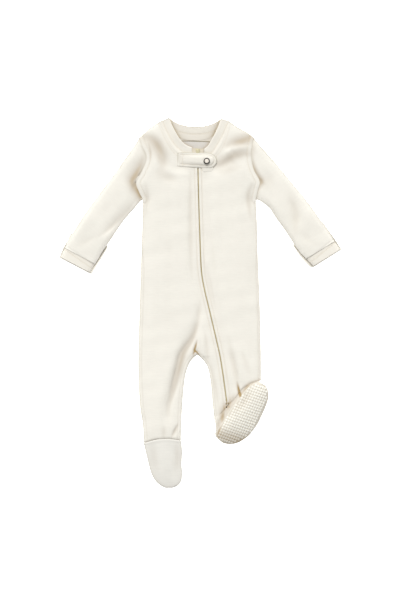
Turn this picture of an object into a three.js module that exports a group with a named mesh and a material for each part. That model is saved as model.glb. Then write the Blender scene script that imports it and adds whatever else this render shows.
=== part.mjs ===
// Footed cotton sleepsuit for a newborn, zipped from the neck to one ankle and laid flat on its back.
// Millimetres. Seen from above, +X is to the right, +Y runs from the feet to the neck and +Z is up.
// The back lies on Z = 0. Left and right are as seen from above.
import * as THREE from 'three';

// ---- Driving sizes -----------------------------------------------------------------------------

const CLOTH = 1.2; // wall of the interlock cotton
const RIB = 1.6; // wall of the neckband and of the wrist bands
const RIBBON = 1.0; // wall of the zip tapes, the label and the patch
const SEAM = 0.3; // gap between pieces that are sewn edge to edge
const LAYER = 0.3; // gap between pieces that lie on each other

const LOFT = 2.0; // how far the front stands off the back, away from its edges
const EDGE_ROLL = 22; // width over which the front comes down to a free edge
const SEAM_ROLL = 4; // a shoulder or ankle seam counts as this much further away than a free edge
const FRONT_FLOOR = CLOTH + LAYER; // lowest underside of whatever lies on the back
const NECK_FLOOR = FRONT_FLOOR + RIBBON + LAYER; // lowest underside of whatever lies on the label

const ARMPIT = 159; // level of both armpits
const CROTCH = { x: -3.9, y: -81.1 }; // top of the gap between the legs

// Zip: half the gap between the cloth's edges, half the coil's width and its height, the tapes' width,
// the levels of its two ends, and the level where the front's edges turn to the neck.
const ZIP = { gap: 1.4, coil: 1.1, high: 1.2, tape: 8, bottom: -155.5, top: 240, neck: 222 };
const ZIP_STOP = { wide: 1.8, long: 2.4, high: 2.2 };
const TAPE_CLIMB = { from: 214, to: 226 }; // levels between which the tapes climb over the label
const ZIP_FLAT = { near: 4, far: 18, past: 8 }; // the front comes down to the tapes over this far
const SLIDER = { y: 232.4, long: 10, wide: 6.4, high: 2.0, bevel: 0.4 };
const PULL = { y: 213, under: 5.4, wide: 4.6, long: 13.5, thick: 0.8, window: 1.1 };

// Side edges of the body and of the outer legs.
const SIDES = [
  { y: 159, left: -88.8, right: 86.5 },
  { y: 120, left: -89.6, right: 88.4 },
  { y: 66, left: -91.5, right: 89.9 },
  { y: 10, left: -93.3, right: 92.3 },
  { y: -40, left: -94.8, right: 93.6 },
  { y: -92, left: -96.0, right: 94.6 },
  { y: -135, left: -94.8, right: 94.6 },
  { y: -165, left: -92.6, right: 93.0 },
  { y: -190, left: -88.8, right: 91.0 },
  { y: -217, left: -87.2, right: 90.0 },
];

// Inner edges of the two legs, from the crotch down.
const INNER_LEGS = [
  { y: -81.1, left: -3.9, right: -3.9 },
  { y: -87.8, left: -12.2, right: 3.4 },
  { y: -98.0, left: -17.9, right: 10.6 },
  { y: -110.0, left: -22.0, right: 14.2 },
  { y: -130.0, left: -25.0, right: 17.0 },
  { y: -152.0, left: -26.8, right: 18.9 },
  { y: -182.0, left: -28.6, right: 22.0 },
  { y: -213.0, left: -29.6, right: 25.0 },
];

// Centre line of the zip.
const ZIP_LINE = [
  { y: 240, x: -3.4 },
  { y: 207, x: -3.1 },
  { y: 97, x: 0.0 },
  { y: 49, x: 2.2 },
  { y: 24, x: 6.1 },
  { y: -12, x: 14.6 },
  { y: -66, x: 27.2 },
  { y: -89, x: 32.1 },
  { y: -131, x: 38.3 },
  { y: -162, x: 42.3 },
];

// Armholes, from the shoulder point down to the armpit.
const ARMHOLES = {
  left: [
    { x: -94.2, y: 254.8 },
    { x: -89.0, y: 240.0 },
    { x: -83.4, y: 229.0 },
    { x: -83.6, y: 218.5 },
    { x: -90.6, y: 202.0 },
    { x: -99.0, y: 185.5 },
    { x: -95.8, y: 174.0 },
    { x: -88.8, y: ARMPIT },
  ],
  right: [
    { x: 83.4, y: 255.0 },
    { x: 80.0, y: 240.0 },
    { x: 79.4, y: 224.0 },
    { x: 83.2, y: 206.0 },
    { x: 92.6, y: 186.5 },
    { x: 89.6, y: 174.0 },
    { x: 86.5, y: ARMPIT },
  ],
};

// Shoulder seams, each from the left to the right.
const SHOULDERS = {
  left: [
    { x: -94.2, y: 254.8 },
    { x: -86.8, y: 262.0 },
    { x: -77.4, y: 270.6 },
    { x: -62.8, y: 279.6 },
  ],
  right: [
    { x: 45.4, y: 280.6 },
    { x: 58.8, y: 271.4 },
    { x: 75.4, y: 262.0 },
    { x: 83.4, y: 255.0 },
  ],
};

// Seams between the neckband and the three panels, each from the left to the right.
const NECK_SEAMS = {
  left: [
    { x: -62.8, y: 279.6 },
    { x: -51.6, y: 254.0 },
    { x: -39.4, y: 234.6 },
    { x: -27.0, y: 226.2 },
    { x: -12.7, y: 222.6 },
  ],
  right: [
    { x: 6.5, y: 221.4 },
    { x: 16.8, y: 223.6 },
    { x: 26.4, y: 231.2 },
    { x: 36.8, y: 250.6 },
    { x: 45.4, y: 280.6 },
  ],
  back: [
    { x: -62.8, y: 279.6 },
    { x: -50.0, y: 265.0 },
    { x: -31.0, y: 254.2 },
    { x: -8.0, y: 250.9 },
    { x: 14.0, y: 254.4 },
    { x: 31.6, y: 265.4 },
    { x: 45.4, y: 280.6 },
  ],
};

// Free edges of the neckband, each from the left to the right.
const NECK_EDGES = {
  left: [
    { x: -48.2, y: 286.2 },
    { x: -38.8, y: 265.8 },
    { x: -29.5, y: 251.1 },
    { x: -20.6, y: 243.4 },
    { x: -12.7, y: 240.2 },
  ],
  right: [
    { x: 6.5, y: 238.0 },
    { x: 10.9, y: 241.2 },
    { x: 17.1, y: 250.8 },
    { x: 24.6, y: 264.6 },
    { x: 32.6, y: 284.6 },
  ],
  back: [
    { x: -48.2, y: 286.2 },
    { x: -37.7, y: 279.0 },
    { x: -22.0, y: 273.8 },
    { x: -7.8, y: 272.3 },
    { x: 7.0, y: 273.4 },
    { x: 22.2, y: 278.2 },
    { x: 32.6, y: 284.6 },
  ],
};

// Ankle seams. The right one is in two stretches, inside and outside the zip.
const ANKLES = {
  left: [
    { x: -87.4, y: -217.0 },
    { x: -67.0, y: -211.6 },
    { x: -49.0, y: -210.4 },
    { x: -29.6, y: -213.0 },
  ],
  rightInner: [
    { x: 22.0, y: -182.0 },
    { x: 31.6, y: -171.0 },
    { x: 42.1, y: -160.6 },
  ],
  rightOuter: [
    { x: 42.4, y: -160.3 },
    { x: 53.6, y: -148.0 },
    { x: 62.6, y: -135.0 },
    { x: 76.0, y: -126.4 },
    { x: 93.6, y: -120.6 },
  ],
};

// Sleeve sections from the armhole to the wrist seam, and the wrist hem: both edges of the flattened
// tube, its height, and how far its underside is lifted by the mitt below it. The mitt has its four
// corners, and its inner edge bows out from under the sleeve.
const SLEEVES = {
  left: {
    sections: [
      { outerX: -94.2, outerY: 254.8, innerX: -88.8, innerY: ARMPIT, high: 4.6, lift: 0.0 },
      { outerX: -121.0, outerY: 215.0, innerX: -104.5, innerY: 142.5, high: 5.8, lift: 0.0 },
      { outerX: -141.5, outerY: 187.0, innerX: -118.5, innerY: 126.6, high: 6.0, lift: 0.0 },
      { outerX: -162.5, outerY: 159.4, innerX: -130.0, innerY: 110.0, high: 6.0, lift: 0.0 },
      { outerX: -178.0, outerY: 137.6, innerX: -140.6, innerY: 93.6, high: 5.8, lift: 1.5 },
      { outerX: -191.4, outerY: 117.0, innerX: -150.2, innerY: 79.6, high: 5.6, lift: 1.5 },
      { outerX: -201.4, outerY: 101.0, innerX: -156.4, innerY: 68.6, high: 5.4, lift: 1.5 },
      { outerX: -209.8, outerY: 84.8, innerX: -161.6, innerY: 59.2, high: 5.0, lift: 1.5 },
    ],
    hem: { outerX: -216.5, outerY: 70.6, innerX: -169.4, innerY: 45.8 },
    mitt: {
      topOuter: [-199.4, 107.4],
      topInner: [-142.7, 87.2],
      hemOuter: [-218.1, 70.0],
      hemInner: [-168.2, 43.8],
    },
    bow: 0.2,
  },
  right: {
    sections: [
      { outerX: 83.4, outerY: 255.0, innerX: 86.5, innerY: ARMPIT, high: 4.6, lift: 0.0 },
      { outerX: 117.4, outerY: 215.0, innerX: 105.0, innerY: 149.0, high: 5.8, lift: 0.0 },
      { outerX: 141.0, outerY: 186.8, innerX: 117.8, innerY: 130.6, high: 6.0, lift: 0.0 },
      { outerX: 163.8, outerY: 159.4, innerX: 131.0, innerY: 113.0, high: 6.0, lift: 0.0 },
      { outerX: 177.8, outerY: 140.6, innerX: 139.6, innerY: 99.6, high: 5.8, lift: 1.5 },
      { outerX: 189.4, outerY: 123.6, innerX: 147.6, innerY: 86.4, high: 5.6, lift: 1.5 },
      { outerX: 200.0, outerY: 108.0, innerX: 155.6, innerY: 76.2, high: 5.4, lift: 1.5 },
      { outerX: 208.8, outerY: 95.0, innerX: 163.4, innerY: 67.2, high: 5.0, lift: 1.5 },
    ],
    hem: { outerX: 217.4, outerY: 82.4, innerX: 174.8, innerY: 56.0 },
    mitt: {
      topOuter: [188.8, 126.2],
      topInner: [144.3, 89.6],
      hemOuter: [219.0, 82.2],
      hemInner: [174.0, 53.8],
    },
    bow: 2.2,
  },
};

// Left foot, lying on its sole with the toe down.
const LEFT_FOOT = [
  { y: -213.0, left: -87.4, right: -29.4 },
  { y: -222.0, left: -86.4, right: -28.0 },
  { y: -234.0, left: -83.6, right: -27.7 },
  { y: -250.0, left: -79.8, right: -28.4 },
  { y: -262.0, left: -76.6, right: -27.6 },
  { y: -270.0, left: -73.2, right: -27.6 },
  { y: -278.0, left: -67.4, right: -29.8 },
  { y: -284.4, left: -59.6, right: -36.0 },
  { y: -287.2, left: -53.0, right: -43.4 },
];
const LEFT_SOLE_TOP = -180; // the sole wraps this far up behind the ankle

// Right foot, turned over so that the sole faces up: its axis runs from the heel to the toe, the widths
// are to the left and right of it, and `rim` and `crown` are the sole's height at its edge and its rise
// inside.
const RIGHT_FOOT = { heel: { x: 32.4, y: -214.8 }, turn: 53.2 };
const RIGHT_SOLE = [
  { along: 0.0, left: 6.0, right: 4.4, rim: 3.6, crown: 1.2 },
  { along: 3.0, left: 10.8, right: 11.4, rim: 4.4, crown: 3.0 },
  { along: 12.0, left: 14.6, right: 20.6, rim: 6.2, crown: 5.4 },
  { along: 20.0, left: 15.4, right: 25.0, rim: 7.0, crown: 6.2 },
  { along: 37.0, left: 16.8, right: 29.0, rim: 7.8, crown: 7.0 },
  { along: 51.0, left: 18.0, right: 29.0, rim: 8.2, crown: 7.2 },
  { along: 69.0, left: 17.2, right: 26.4, rim: 8.2, crown: 6.8 },
  { along: 83.0, left: 17.2, right: 23.4, rim: 8.0, crown: 6.2 },
  { along: 95.0, left: 16.0, right: 19.6, rim: 7.8, crown: 5.4 },
  { along: 103.0, left: 12.6, right: 14.8, rim: 7.6, crown: 4.2 },
  { along: 108.4, left: 6.8, right: 8.2, rim: 7.4, crown: 2.4 },
  { along: 110.4, left: 2.6, right: 3.2, rim: 7.2, crown: 1.2 },
];
// How far the folded upper comes out on the left of the heel. Past the heel it meets the ankle seam.
const HEEL_REACH = [
  { along: 0.0, reach: 8.8 },
  { along: 4.0, reach: 14.0 },
  { along: 12.0, reach: 17.4 },
  { along: 19.0, reach: 25.0 },
];
const SOLE_INSET = 1.4; // the folded upper stays this far inside the sole's edge
const ANKLE_HEIGHT = 4.4; // top of the folded upper where it meets the leg

// Snap tab over the top of the zip: half its width and its underside, along its length.
const TAB = { x: -34.9, y: 221.6, turn: -2.4, snap: 45.4 };
const TAB_SECTIONS = [
  { along: 0.0, half: 10.6, under: 5.4 },
  { along: 2.0, half: 11.1, under: 5.4 },
  { along: 14.0, half: 11.3, under: 5.8 },
  { along: 26.0, half: 11.6, under: 7.2 },
  { along: 38.0, half: 11.9, under: 8.1 },
  { along: 46.0, half: 12.0, under: 8.6 },
  { along: 52.0, half: 11.2, under: 8.3 },
  { along: 57.0, half: 8.4, under: 7.6 },
  { along: 60.0, half: 4.6, under: 7.2 },
  { along: 61.0, half: 2.2, under: 7.1 },
];
const SNAP = { ring: 5.0, hole: 3.0, ringHigh: 0.9, stud: 4.2, studHigh: 1.0 };
const PATCH = { x: 11.6, y: 214.6, wide: 17, long: 25, corner: 5 };
const LABEL = { x: -7.2, y: 243.2, wide: 45, long: 13.4, turn: -1.8 };

// Soft ridges (rise above 0) and troughs (below 0) in whatever lies on top, each along a short path.
const FOLDS = [
  { path: [[-86, 262], [-67, 241], [-55, 214]], wide: 8, rise: -1.4 },
  { path: [[-72, 265], [-56, 243], [-44, 214]], wide: 6, rise: 0.8 },
  { path: [[76, 254], [62, 250], [49, 247]], wide: 7, rise: -1.0 },
  { path: [[70, 231], [46, 217], [24, 209]], wide: 7, rise: -1.4 },
  { path: [[72, 243], [56, 232], [40, 228]], wide: 7, rise: 0.9 },
  { path: [[-54, 196], [-46, 193], [-38, 190]], wide: 7, rise: -0.8 },
  { path: [[-83, 178], [-81, 166], [-77, 150]], wide: 6, rise: -1.1 },
  { path: [[79, 181], [76, 168], [71, 150]], wide: 6, rise: -1.2 },
  { path: [[79, 58], [81, 34], [82, 8]], wide: 6, rise: -0.8 },
  { path: [[-18, 200], [-18, 60], [-12, 0]], wide: 6, rise: -0.6 },
  { path: [[13, 200], [16, 60], [28, -20]], wide: 6, rise: -0.6 },
  { path: [[-1, -8], [-9, -46], [-27, -81]], wide: 8, rise: -1.4 },
  { path: [[-24, -74], [-34, -108], [-47, -158], [-48, -184]], wide: 9, rise: -1.7 },
  { path: [[-8, -84], [-21, -112], [-28, -150]], wide: 7, rise: 0.8 },
  { path: [[-50, -60], [-60, -110], [-66, -170]], wide: 14, rise: 1.1 },
  { path: [[-3, -66], [-6, -73], [-7, -80]], wide: 4, rise: -1.0 },
  { path: [[10, -50], [11, -70], [12, -92]], wide: 5, rise: -0.8 },
  { path: [[50, -80], [56, -112], [61, -136]], wide: 6, rise: -1.5 },
  { path: [[66, -70], [74, -96], [78, -118]], wide: 9, rise: 1.0 },
  { path: [[-40, -194], [-36, -202], [-32, -208]], wide: 4, rise: -1.0 },
  { path: [[-60, -224], [-58, -246], [-54, -270]], wide: 14, rise: 1.0 },
  { path: [[-92, 236], [-100, 208], [-112, 190]], wide: 7, rise: -1.2 },
  { path: [[-102, 160], [-128, 130], [-155, 104]], wide: 7, rise: -1.2 },
  { path: [[-136, 176], [-160, 146], [-180, 116]], wide: 9, rise: 0.7 },
  { path: [[84, 232], [92, 208], [102, 190]], wide: 7, rise: -1.2 },
  { path: [[139, 164], [147, 134], [146, 104]], wide: 7, rise: -1.2 },
  { path: [[150, 160], [164, 134], [176, 112]], wide: 8, rise: 0.8 },
  { path: [[77, -138], [71, -148], [64, -160]], wide: 6, rise: -1.8 },
];

// How finely each piece is divided.
const STEPS = {
  shoulder: 4,
  neck: 7,
  armhole: 12,
  body: 18,
  leg: 11,
  inner: 3,
  backBody: 9,
  backLeg: 8,
  sleeve: 11,
};

// ---- Finishes ----------------------------------------------------------------------------------

const finish = (color, roughness, metalness = 0) => (
  new THREE.MeshStandardMaterial({ color, roughness, metalness })
);

const FINISHES = {
  cotton: finish('#f2eee4', 0.92),
  rib: finish('#f0ece0', 0.94),
  sole: finish('#e7e5d9', 0.95),
  tape: finish('#efe9d8', 0.85),
  coil: finish('#8c8264', 0.55),
  label: finish('#f1efe8', 0.7),
  slider: finish('#d9d2ae', 0.4, 0.6),
  metal: finish('#6a655a', 0.35, 0.9),
};

// ---- Curves, tables and heights ----------------------------------------------------------------

const { clamp, degToRad, lerp, smoothstep } = THREE.MathUtils;

/** The place at t between two [x, y] places. */
const mix = (a, b, t) => [lerp(a[0], b[0], t), lerp(a[1], b[1], t)];

/** A smooth curve through the rows of a table; returns its [x, y] place at t, evenly along it. */
function curve(rows) {
  const places = rows.map((row) => new THREE.Vector3(row.x, row.y, 0));
  const line = new THREE.CatmullRomCurve3(places, false, 'centripetal');
  return (t) => line.getPointAt(clamp(t, 0, 1)).toArray().slice(0, 2);
}

/** One column of a table as a smooth function of another, without overshoot. */
function column(table, along, name) {
  const rows = [...table].sort((a, b) => a[along] - b[along]);
  const at = rows.map((row) => row[along]);
  const value = rows.map((row) => row[name]);
  const slope = value.slice(1).map((end, i) => (end - value[i]) / (at[i + 1] - at[i]));
  const tangent = value.map((_, i) => {
    const before = slope[Math.max(i - 1, 0)];
    const after = slope[Math.min(i, slope.length - 1)];
    return before * after <= 0 ? 0 : (2 * before * after) / (before + after);
  });
  return (place) => {
    const p = clamp(place, at[0], at[at.length - 1]);
    const i = clamp(at.findIndex((end) => end >= p) - 1, 0, slope.length - 1);
    const span = at[i + 1] - at[i];
    const t = (p - at[i]) / span;
    const rest = 1 - t;
    const ends = value[i] * (1 + 2 * t) * rest * rest + value[i + 1] * (1 + 2 * rest) * t * t;
    return ends + span * t * rest * (tangent[i] * rest - tangent[i + 1] * t);
  };
}

const sideLeft = column(SIDES, 'y', 'left');
const sideRight = column(SIDES, 'y', 'right');
const innerLeft = column(INNER_LEGS, 'y', 'left');
const innerRight = column(INNER_LEGS, 'y', 'right');
const zipX = column(ZIP_LINE, 'y', 'x');

const ARMHOLE = { left: curve(ARMHOLES.left), right: curve(ARMHOLES.right) };
const SHOULDER = { left: curve(SHOULDERS.left), right: curve(SHOULDERS.right) };
const NECK_SEAM = {
  left: curve(NECK_SEAMS.left),
  right: curve(NECK_SEAMS.right),
  back: curve(NECK_SEAMS.back),
};
const ANKLE = {
  left: curve(ANKLES.left),
  rightInner: curve(ANKLES.rightInner),
  rightOuter: curve(ANKLES.rightOuter),
};

const FOLD_SAMPLES = 20;
const foldPaths = FOLDS.map(({ path, wide, rise }) => {
  const at = curve(path.map(([x, y]) => ({ x, y })));
  const samples = Array.from({ length: FOLD_SAMPLES + 1 }, (_, i) => at(i / FOLD_SAMPLES));
  return { samples, wide, rise };
});

/** Height that the folds add at a place. A fold fades out sideways and towards its ends. */
function foldHeight(x, y) {
  let height = 0;
  for (const { samples, wide, rise } of foldPaths) {
    const strength = samples.map(([px, py], i) => {
      const fade = Math.sqrt(Math.sin((Math.PI * (i + 0.5)) / (samples.length + 0.5)));
      return fade * Math.exp(-(((px - x) ** 2 + (py - y) ** 2) / wide ** 2));
    });
    height += rise * Math.max(...strength);
  }
  return height;
}

/** Underside of the zip tapes: they climb over the label at the neck. */
function tapeUnder(y) {
  return lerp(FRONT_FLOOR, NECK_FLOOR, smoothstep(y, TAPE_CLIMB.from, TAPE_CLIMB.to));
}

/** Distance of a place below the line from one [x, y] to another, which runs to the right. */
function below(x, y, from, to) {
  const [dx, dy] = [to[0] - from[0], to[1] - from[1]];
  return ((x - from[0]) * dy - (y - from[1]) * dx) / Math.hypot(dx, dy);
}

/** Plan distance from a place on the front to the nearest free edge or ankle seam. */
function edgeRoom(x, y) {
  const spread = Math.max(y - ARMPIT, 0);
  const rooms = [x - sideLeft(y) + spread, sideRight(y) - x + spread];
  rooms.push(below(x, y, SHOULDER.left(0), SHOULDER.left(1)) + SEAM_ROLL);
  rooms.push(below(x, y, SHOULDER.right(0), SHOULDER.right(1)) + SEAM_ROLL);
  if (y < CROTCH.y) rooms.push(x < CROTCH.x ? innerLeft(y) - x : x - innerRight(y));
  if (x < CROTCH.x) rooms.push(y - ANKLE.left(0.5)[1] + SEAM_ROLL);
  return Math.max(Math.min(...rooms), 0);
}

/** Underside of the front: low at its edges, clear of the zip tapes, with the folds on top. */
function frontUnder(x, y) {
  const loft = LOFT * Math.sin((Math.PI / 2) * Math.min(edgeRoom(x, y) / EDGE_ROLL, 1));
  const fromZip = Math.abs(x - zipX(y)) - ZIP.tape;
  const nearZip = 1 - smoothstep(fromZip, ZIP_FLAT.near, ZIP_FLAT.far);
  const overTape = tapeUnder(y) + RIBBON + LAYER;
  const floor = y > ZIP.bottom - ZIP_FLAT.past ? lerp(FRONT_FLOOR, overTape, nearZip) : FRONT_FLOOR;
  return Math.max(FRONT_FLOOR + loft + foldHeight(x, y), floor);
}

// ---- Walls -------------------------------------------------------------------------------------

/** Collects the corners and triangles of a mesh, sharing corners that coincide. */
class Surface {
  constructor() {
    this.corners = [];
    this.triangles = [];
    this.found = new Map();
  }

  corner(place) {
    const key = place.map((value) => value.toFixed(3)).join(' ');
    if (!this.found.has(key)) {
      this.found.set(key, this.corners.length);
      this.corners.push(place);
    }
    return this.found.get(key);
  }

  quad(a, b, c, d) {
    for (const triangle of [[a, b, c], [a, c, d]]) {
      if (new Set(triangle).size === 3) this.triangles.push(triangle);
    }
  }

  /** A grid of quads. `at(c, r)` gives the corner at c across and r down, both from 0 to 1. */
  patch(across, down, at) {
    const corner = (c, r) => this.corner(at(c / across, r / down));
    for (let r = 0; r < down; r += 1) {
      for (let c = 0; c < across; c += 1) {
        this.quad(corner(c, r), corner(c, r + 1), corner(c + 1, r + 1), corner(c + 1, r));
      }
    }
    return this;
  }

  /** Joins closed rings of equal length into a skin. */
  skin(rings) {
    const rows = rings.map((ring) => ring.map((place) => this.corner(place)));
    for (let k = 0; k + 1 < rows.length; k += 1) {
      rows[k].forEach((corner, i) => {
        const next = (i + 1) % rows[k].length;
        this.quad(corner, rows[k][next], rows[k + 1][next], rows[k + 1][i]);
      });
    }
    return this;
  }

  /** Closes a ring with a fan about its middle. */
  lid(ring) {
    const mean = (axis) => ring.reduce((sum, place) => sum + place[axis], 0) / ring.length;
    const hub = this.corner([mean(0), mean(1), mean(2)]);
    ring.forEach((place, i) => {
      this.triangles.push([this.corner(place), hub, this.corner(ring[(i + 1) % ring.length])]);
    });
    return this;
  }

  /** The closed mesh, turned so that its faces point out. */
  geometry() {
    const volume = this.triangles.reduce((sum, triangle) => {
      const [a, b, c] = triangle.map((i) => new THREE.Vector3(...this.corners[i]));
      return sum + a.dot(b.cross(c));
    }, 0);
    const turned = volume < 0 ? this.triangles.map(([a, b, c]) => [a, c, b]) : this.triangles;
    const geometry = new THREE.BufferGeometry();
    geometry.setAttribute('position', new THREE.Float32BufferAttribute(this.corners.flat(), 3));
    geometry.setIndex(turned.flat());
    geometry.computeVertexNormals();
    return geometry;
  }

  /** A sheet's corners are its underside. This adds its top, `wall` above, and closes its rim. */
  thicken(wall) {
    const count = this.corners.length;
    const sheet = this.triangles;
    const edges = new Set(sheet.flatMap(([a, b, c]) => [`${a} ${b}`, `${b} ${c}`, `${c} ${a}`]));
    this.corners = [...this.corners, ...this.corners.map(([x, y, z]) => [x, y, z + wall])];
    this.triangles = sheet.map(([a, b, c]) => [a, c, b]);
    this.triangles.push(...sheet.map((triangle) => triangle.map((i) => i + count)));
    for (const edge of edges) {
      const [a, b] = edge.split(' ').map(Number);
      if (!edges.has(`${b} ${a}`)) this.quad(b + count, a + count, a, b);
    }
    return this.geometry();
  }
}

/** Fills the area between four edges: top and bottom run across, left and right run down. */
function between(top, bottom, left, right) {
  return (c, r) => [0, 1].map((axis) => {
    const across = lerp(left(r)[axis], right(r)[axis], c);
    const down = lerp(top(c)[axis], bottom(c)[axis], r);
    const topEnds = lerp(top(0)[axis], top(1)[axis], c);
    const bottomEnds = lerp(bottom(0)[axis], bottom(1)[axis], c);
    return across + down - lerp(topEnds, bottomEnds, r);
  });
}

/** Fills the area between two edges that both run down. */
const ruled = (left, right) => (c, r) => mix(left(r), right(r), c);

/** Puts a plan onto a height, given as a function of x and y. */
const raised = (plan, height) => (c, r) => {
  const [x, y] = plan(c, r);
  return [x, y, height(x, y)];
};

/** Edges joined end to end, with the steps that each takes, as one edge. */
function chain(...parts) {
  const total = parts.reduce((sum, part) => sum + part.steps, 0);
  return (t) => {
    let step = t * total;
    for (const { steps, at } of parts) {
      if (step <= steps + 1e-9) return at(Math.min(step / steps, 1));
      step -= steps;
    }
    return parts[parts.length - 1].at(1);
  };
}

/** A level that goes from `top` to `bottom` with shorter steps near the top. */
const levels = (top, bottom, ease = 1) => (r) => lerp(top, bottom, r ** ease);

/** The cloth's edge beside the zip at a level; side is -1 on the left and 1 on the right. */
const zipEdge = (side, gap = ZIP.gap) => (y) => [zipX(y) + side * gap, y];

const named = (name, geometry, material) => {
  const mesh = new THREE.Mesh(geometry, material);
  mesh.name = name;
  return mesh;
};

// ---- Body panels -------------------------------------------------------------------------------

const NECK_COLUMNS = STEPS.shoulder + STEPS.neck + 1;
const LEG_EASE = 1.4; // the legs' rows are closer together near the crotch

function frontLeft() {
  const sheet = new Surface();
  const beside = zipEdge(-1);
  const tapeEdge = (t) => mix(NECK_SEAM.left(1), beside(ZIP.neck), t);
  const top = chain(
    { steps: STEPS.shoulder, at: SHOULDER.left },
    { steps: STEPS.neck, at: NECK_SEAM.left },
    { steps: 1, at: tapeEdge },
  );
  const chest = (t) => mix([sideLeft(ARMPIT), ARMPIT], beside(ARMPIT), t);
  const yoke = between(top, chest, ARMHOLE.left, (r) => beside(lerp(ZIP.neck, ARMPIT, r)));
  sheet.patch(NECK_COLUMNS, STEPS.armhole, raised(yoke, frontUnder));

  const outerColumns = NECK_COLUMNS - STEPS.inner;
  const split = chest(outerColumns / NECK_COLUMNS);
  const torso = levels(ARMPIT, CROTCH.y);
  const side = (r) => [sideLeft(torso(r)), torso(r)];
  const middle = (r) => mix(split, [CROTCH.x, CROTCH.y], r);
  sheet.patch(outerColumns, STEPS.body, raised(ruled(side, middle), frontUnder));
  sheet.patch(STEPS.inner, STEPS.body, raised(ruled(middle, (r) => beside(torso(r))), frontUnder));

  const outerLeg = levels(CROTCH.y, ANKLE.left(0)[1], LEG_EASE);
  const innerLeg = levels(CROTCH.y, ANKLE.left(1)[1], LEG_EASE);
  const leg = between(
    (c) => mix([sideLeft(CROTCH.y), CROTCH.y], [CROTCH.x, CROTCH.y], c),
    ANKLE.left,
    (r) => [sideLeft(outerLeg(r)), outerLeg(r)],
    (r) => [innerLeft(innerLeg(r)), innerLeg(r)],
  );
  sheet.patch(outerColumns, STEPS.leg, raised(leg, frontUnder));

  const closing = 6; // the strip ends this far above the ankle seam, in one last row
  const strip = levels(CROTCH.y, ANKLE.rightInner(0)[1] + closing, LEG_EASE);
  const besideLeg = levels(CROTCH.y, ZIP.bottom, LEG_EASE);
  const inside = (r) => [innerRight(strip(r)), strip(r)];
  const innerStrip = ruled(inside, (r) => beside(besideLeg(r)));
  sheet.patch(STEPS.inner, STEPS.leg, raised(innerStrip, frontUnder));
  const closed = ruled(
    (r) => mix(inside(1), ANKLE.rightInner(0), r),
    (r) => mix(beside(ZIP.bottom), ANKLE.rightInner(1), r),
  );
  const seam = (c, r) => (r < 1 ? closed(c, r) : ANKLE.rightInner(c));
  sheet.patch(STEPS.inner, 1, raised(seam, frontUnder));
  return named('front_left', sheet.thicken(CLOTH), FINISHES.cotton);
}

function frontRight() {
  const sheet = new Surface();
  const beside = zipEdge(1);
  const tapeEdge = (t) => mix(beside(ZIP.neck - 1), NECK_SEAM.right(0), t);
  const top = chain(
    { steps: 1, at: tapeEdge },
    { steps: STEPS.neck, at: NECK_SEAM.right },
    { steps: STEPS.shoulder, at: SHOULDER.right },
  );
  const chest = (t) => mix(beside(ARMPIT), [sideRight(ARMPIT), ARMPIT], t);
  const yoke = between(top, chest, (r) => beside(lerp(ZIP.neck - 1, ARMPIT, r)), ARMHOLE.right);
  sheet.patch(NECK_COLUMNS, STEPS.armhole, raised(yoke, frontUnder));

  const rows = STEPS.body + STEPS.leg - 3;
  const alongZip = levels(ARMPIT, ZIP.bottom);
  const down = levels(ARMPIT, ANKLE.rightOuter(1)[1]);
  const zipSide = chain(
    { steps: rows - 1, at: (r) => beside(alongZip(r)) },
    { steps: 1, at: (r) => mix(beside(ZIP.bottom), ANKLE.rightOuter(0), r) },
  );
  const leg = between(chest, ANKLE.rightOuter, zipSide, (r) => [sideRight(down(r)), down(r)]);
  sheet.patch(NECK_COLUMNS, rows, raised(leg, frontUnder));
  return named('front_right', sheet.thicken(CLOTH), FINISHES.cotton);
}

function back() {
  const sheet = new Surface();
  const flat = () => 0;
  const columns = 2 * STEPS.shoulder + STEPS.neck + 1;
  const top = chain(
    { steps: STEPS.shoulder, at: SHOULDER.left },
    { steps: STEPS.neck + 1, at: NECK_SEAM.back },
    { steps: STEPS.shoulder, at: SHOULDER.right },
  );
  const chest = (t) => mix([sideLeft(ARMPIT), ARMPIT], [sideRight(ARMPIT), ARMPIT], t);
  sheet.patch(columns, STEPS.armhole, raised(between(top, chest, ARMHOLE.left, ARMHOLE.right), flat));

  const half = columns / 2;
  const torso = levels(ARMPIT, CROTCH.y);
  const left = (r) => [sideLeft(torso(r)), torso(r)];
  const middle = (r) => mix(chest(0.5), [CROTCH.x, CROTCH.y], r);
  const right = (r) => [sideRight(torso(r)), torso(r)];
  sheet.patch(half, STEPS.backBody, raised(ruled(left, middle), flat));
  sheet.patch(half, STEPS.backBody, raised(ruled(middle, right), flat));

  const heel = levels(CROTCH.y, LEFT_SOLE_TOP, LEG_EASE);
  const leftLeg = ruled((r) => [sideLeft(heel(r)), heel(r)], (r) => [innerLeft(heel(r)), heel(r)]);
  sheet.patch(half, STEPS.backLeg, raised(leftLeg, flat));
  const inside = levels(CROTCH.y, ANKLE.rightInner(0)[1], LEG_EASE);
  const outside = levels(CROTCH.y, ANKLE.rightOuter(1)[1], LEG_EASE);
  const rightLeg = between(
    (c) => mix([CROTCH.x, CROTCH.y], [sideRight(CROTCH.y), CROTCH.y], c),
    chain({ steps: 3, at: ANKLE.rightInner }, { steps: half - 3, at: ANKLE.rightOuter }),
    (r) => [innerRight(inside(r)), inside(r)],
    (r) => [sideRight(outside(r)), outside(r)],
  );
  const short = 1; // the back stops this much short of the ankle seam, each way
  const clear = (c, r) => {
    const [x, y] = rightLeg(c, r);
    return [x - short * r, y + short * r];
  };
  sheet.patch(half, STEPS.backLeg, raised(clear, flat));
  return named('back', sheet.thicken(CLOTH), FINISHES.cotton);
}

// ---- Neck --------------------------------------------------------------------------------------

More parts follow.
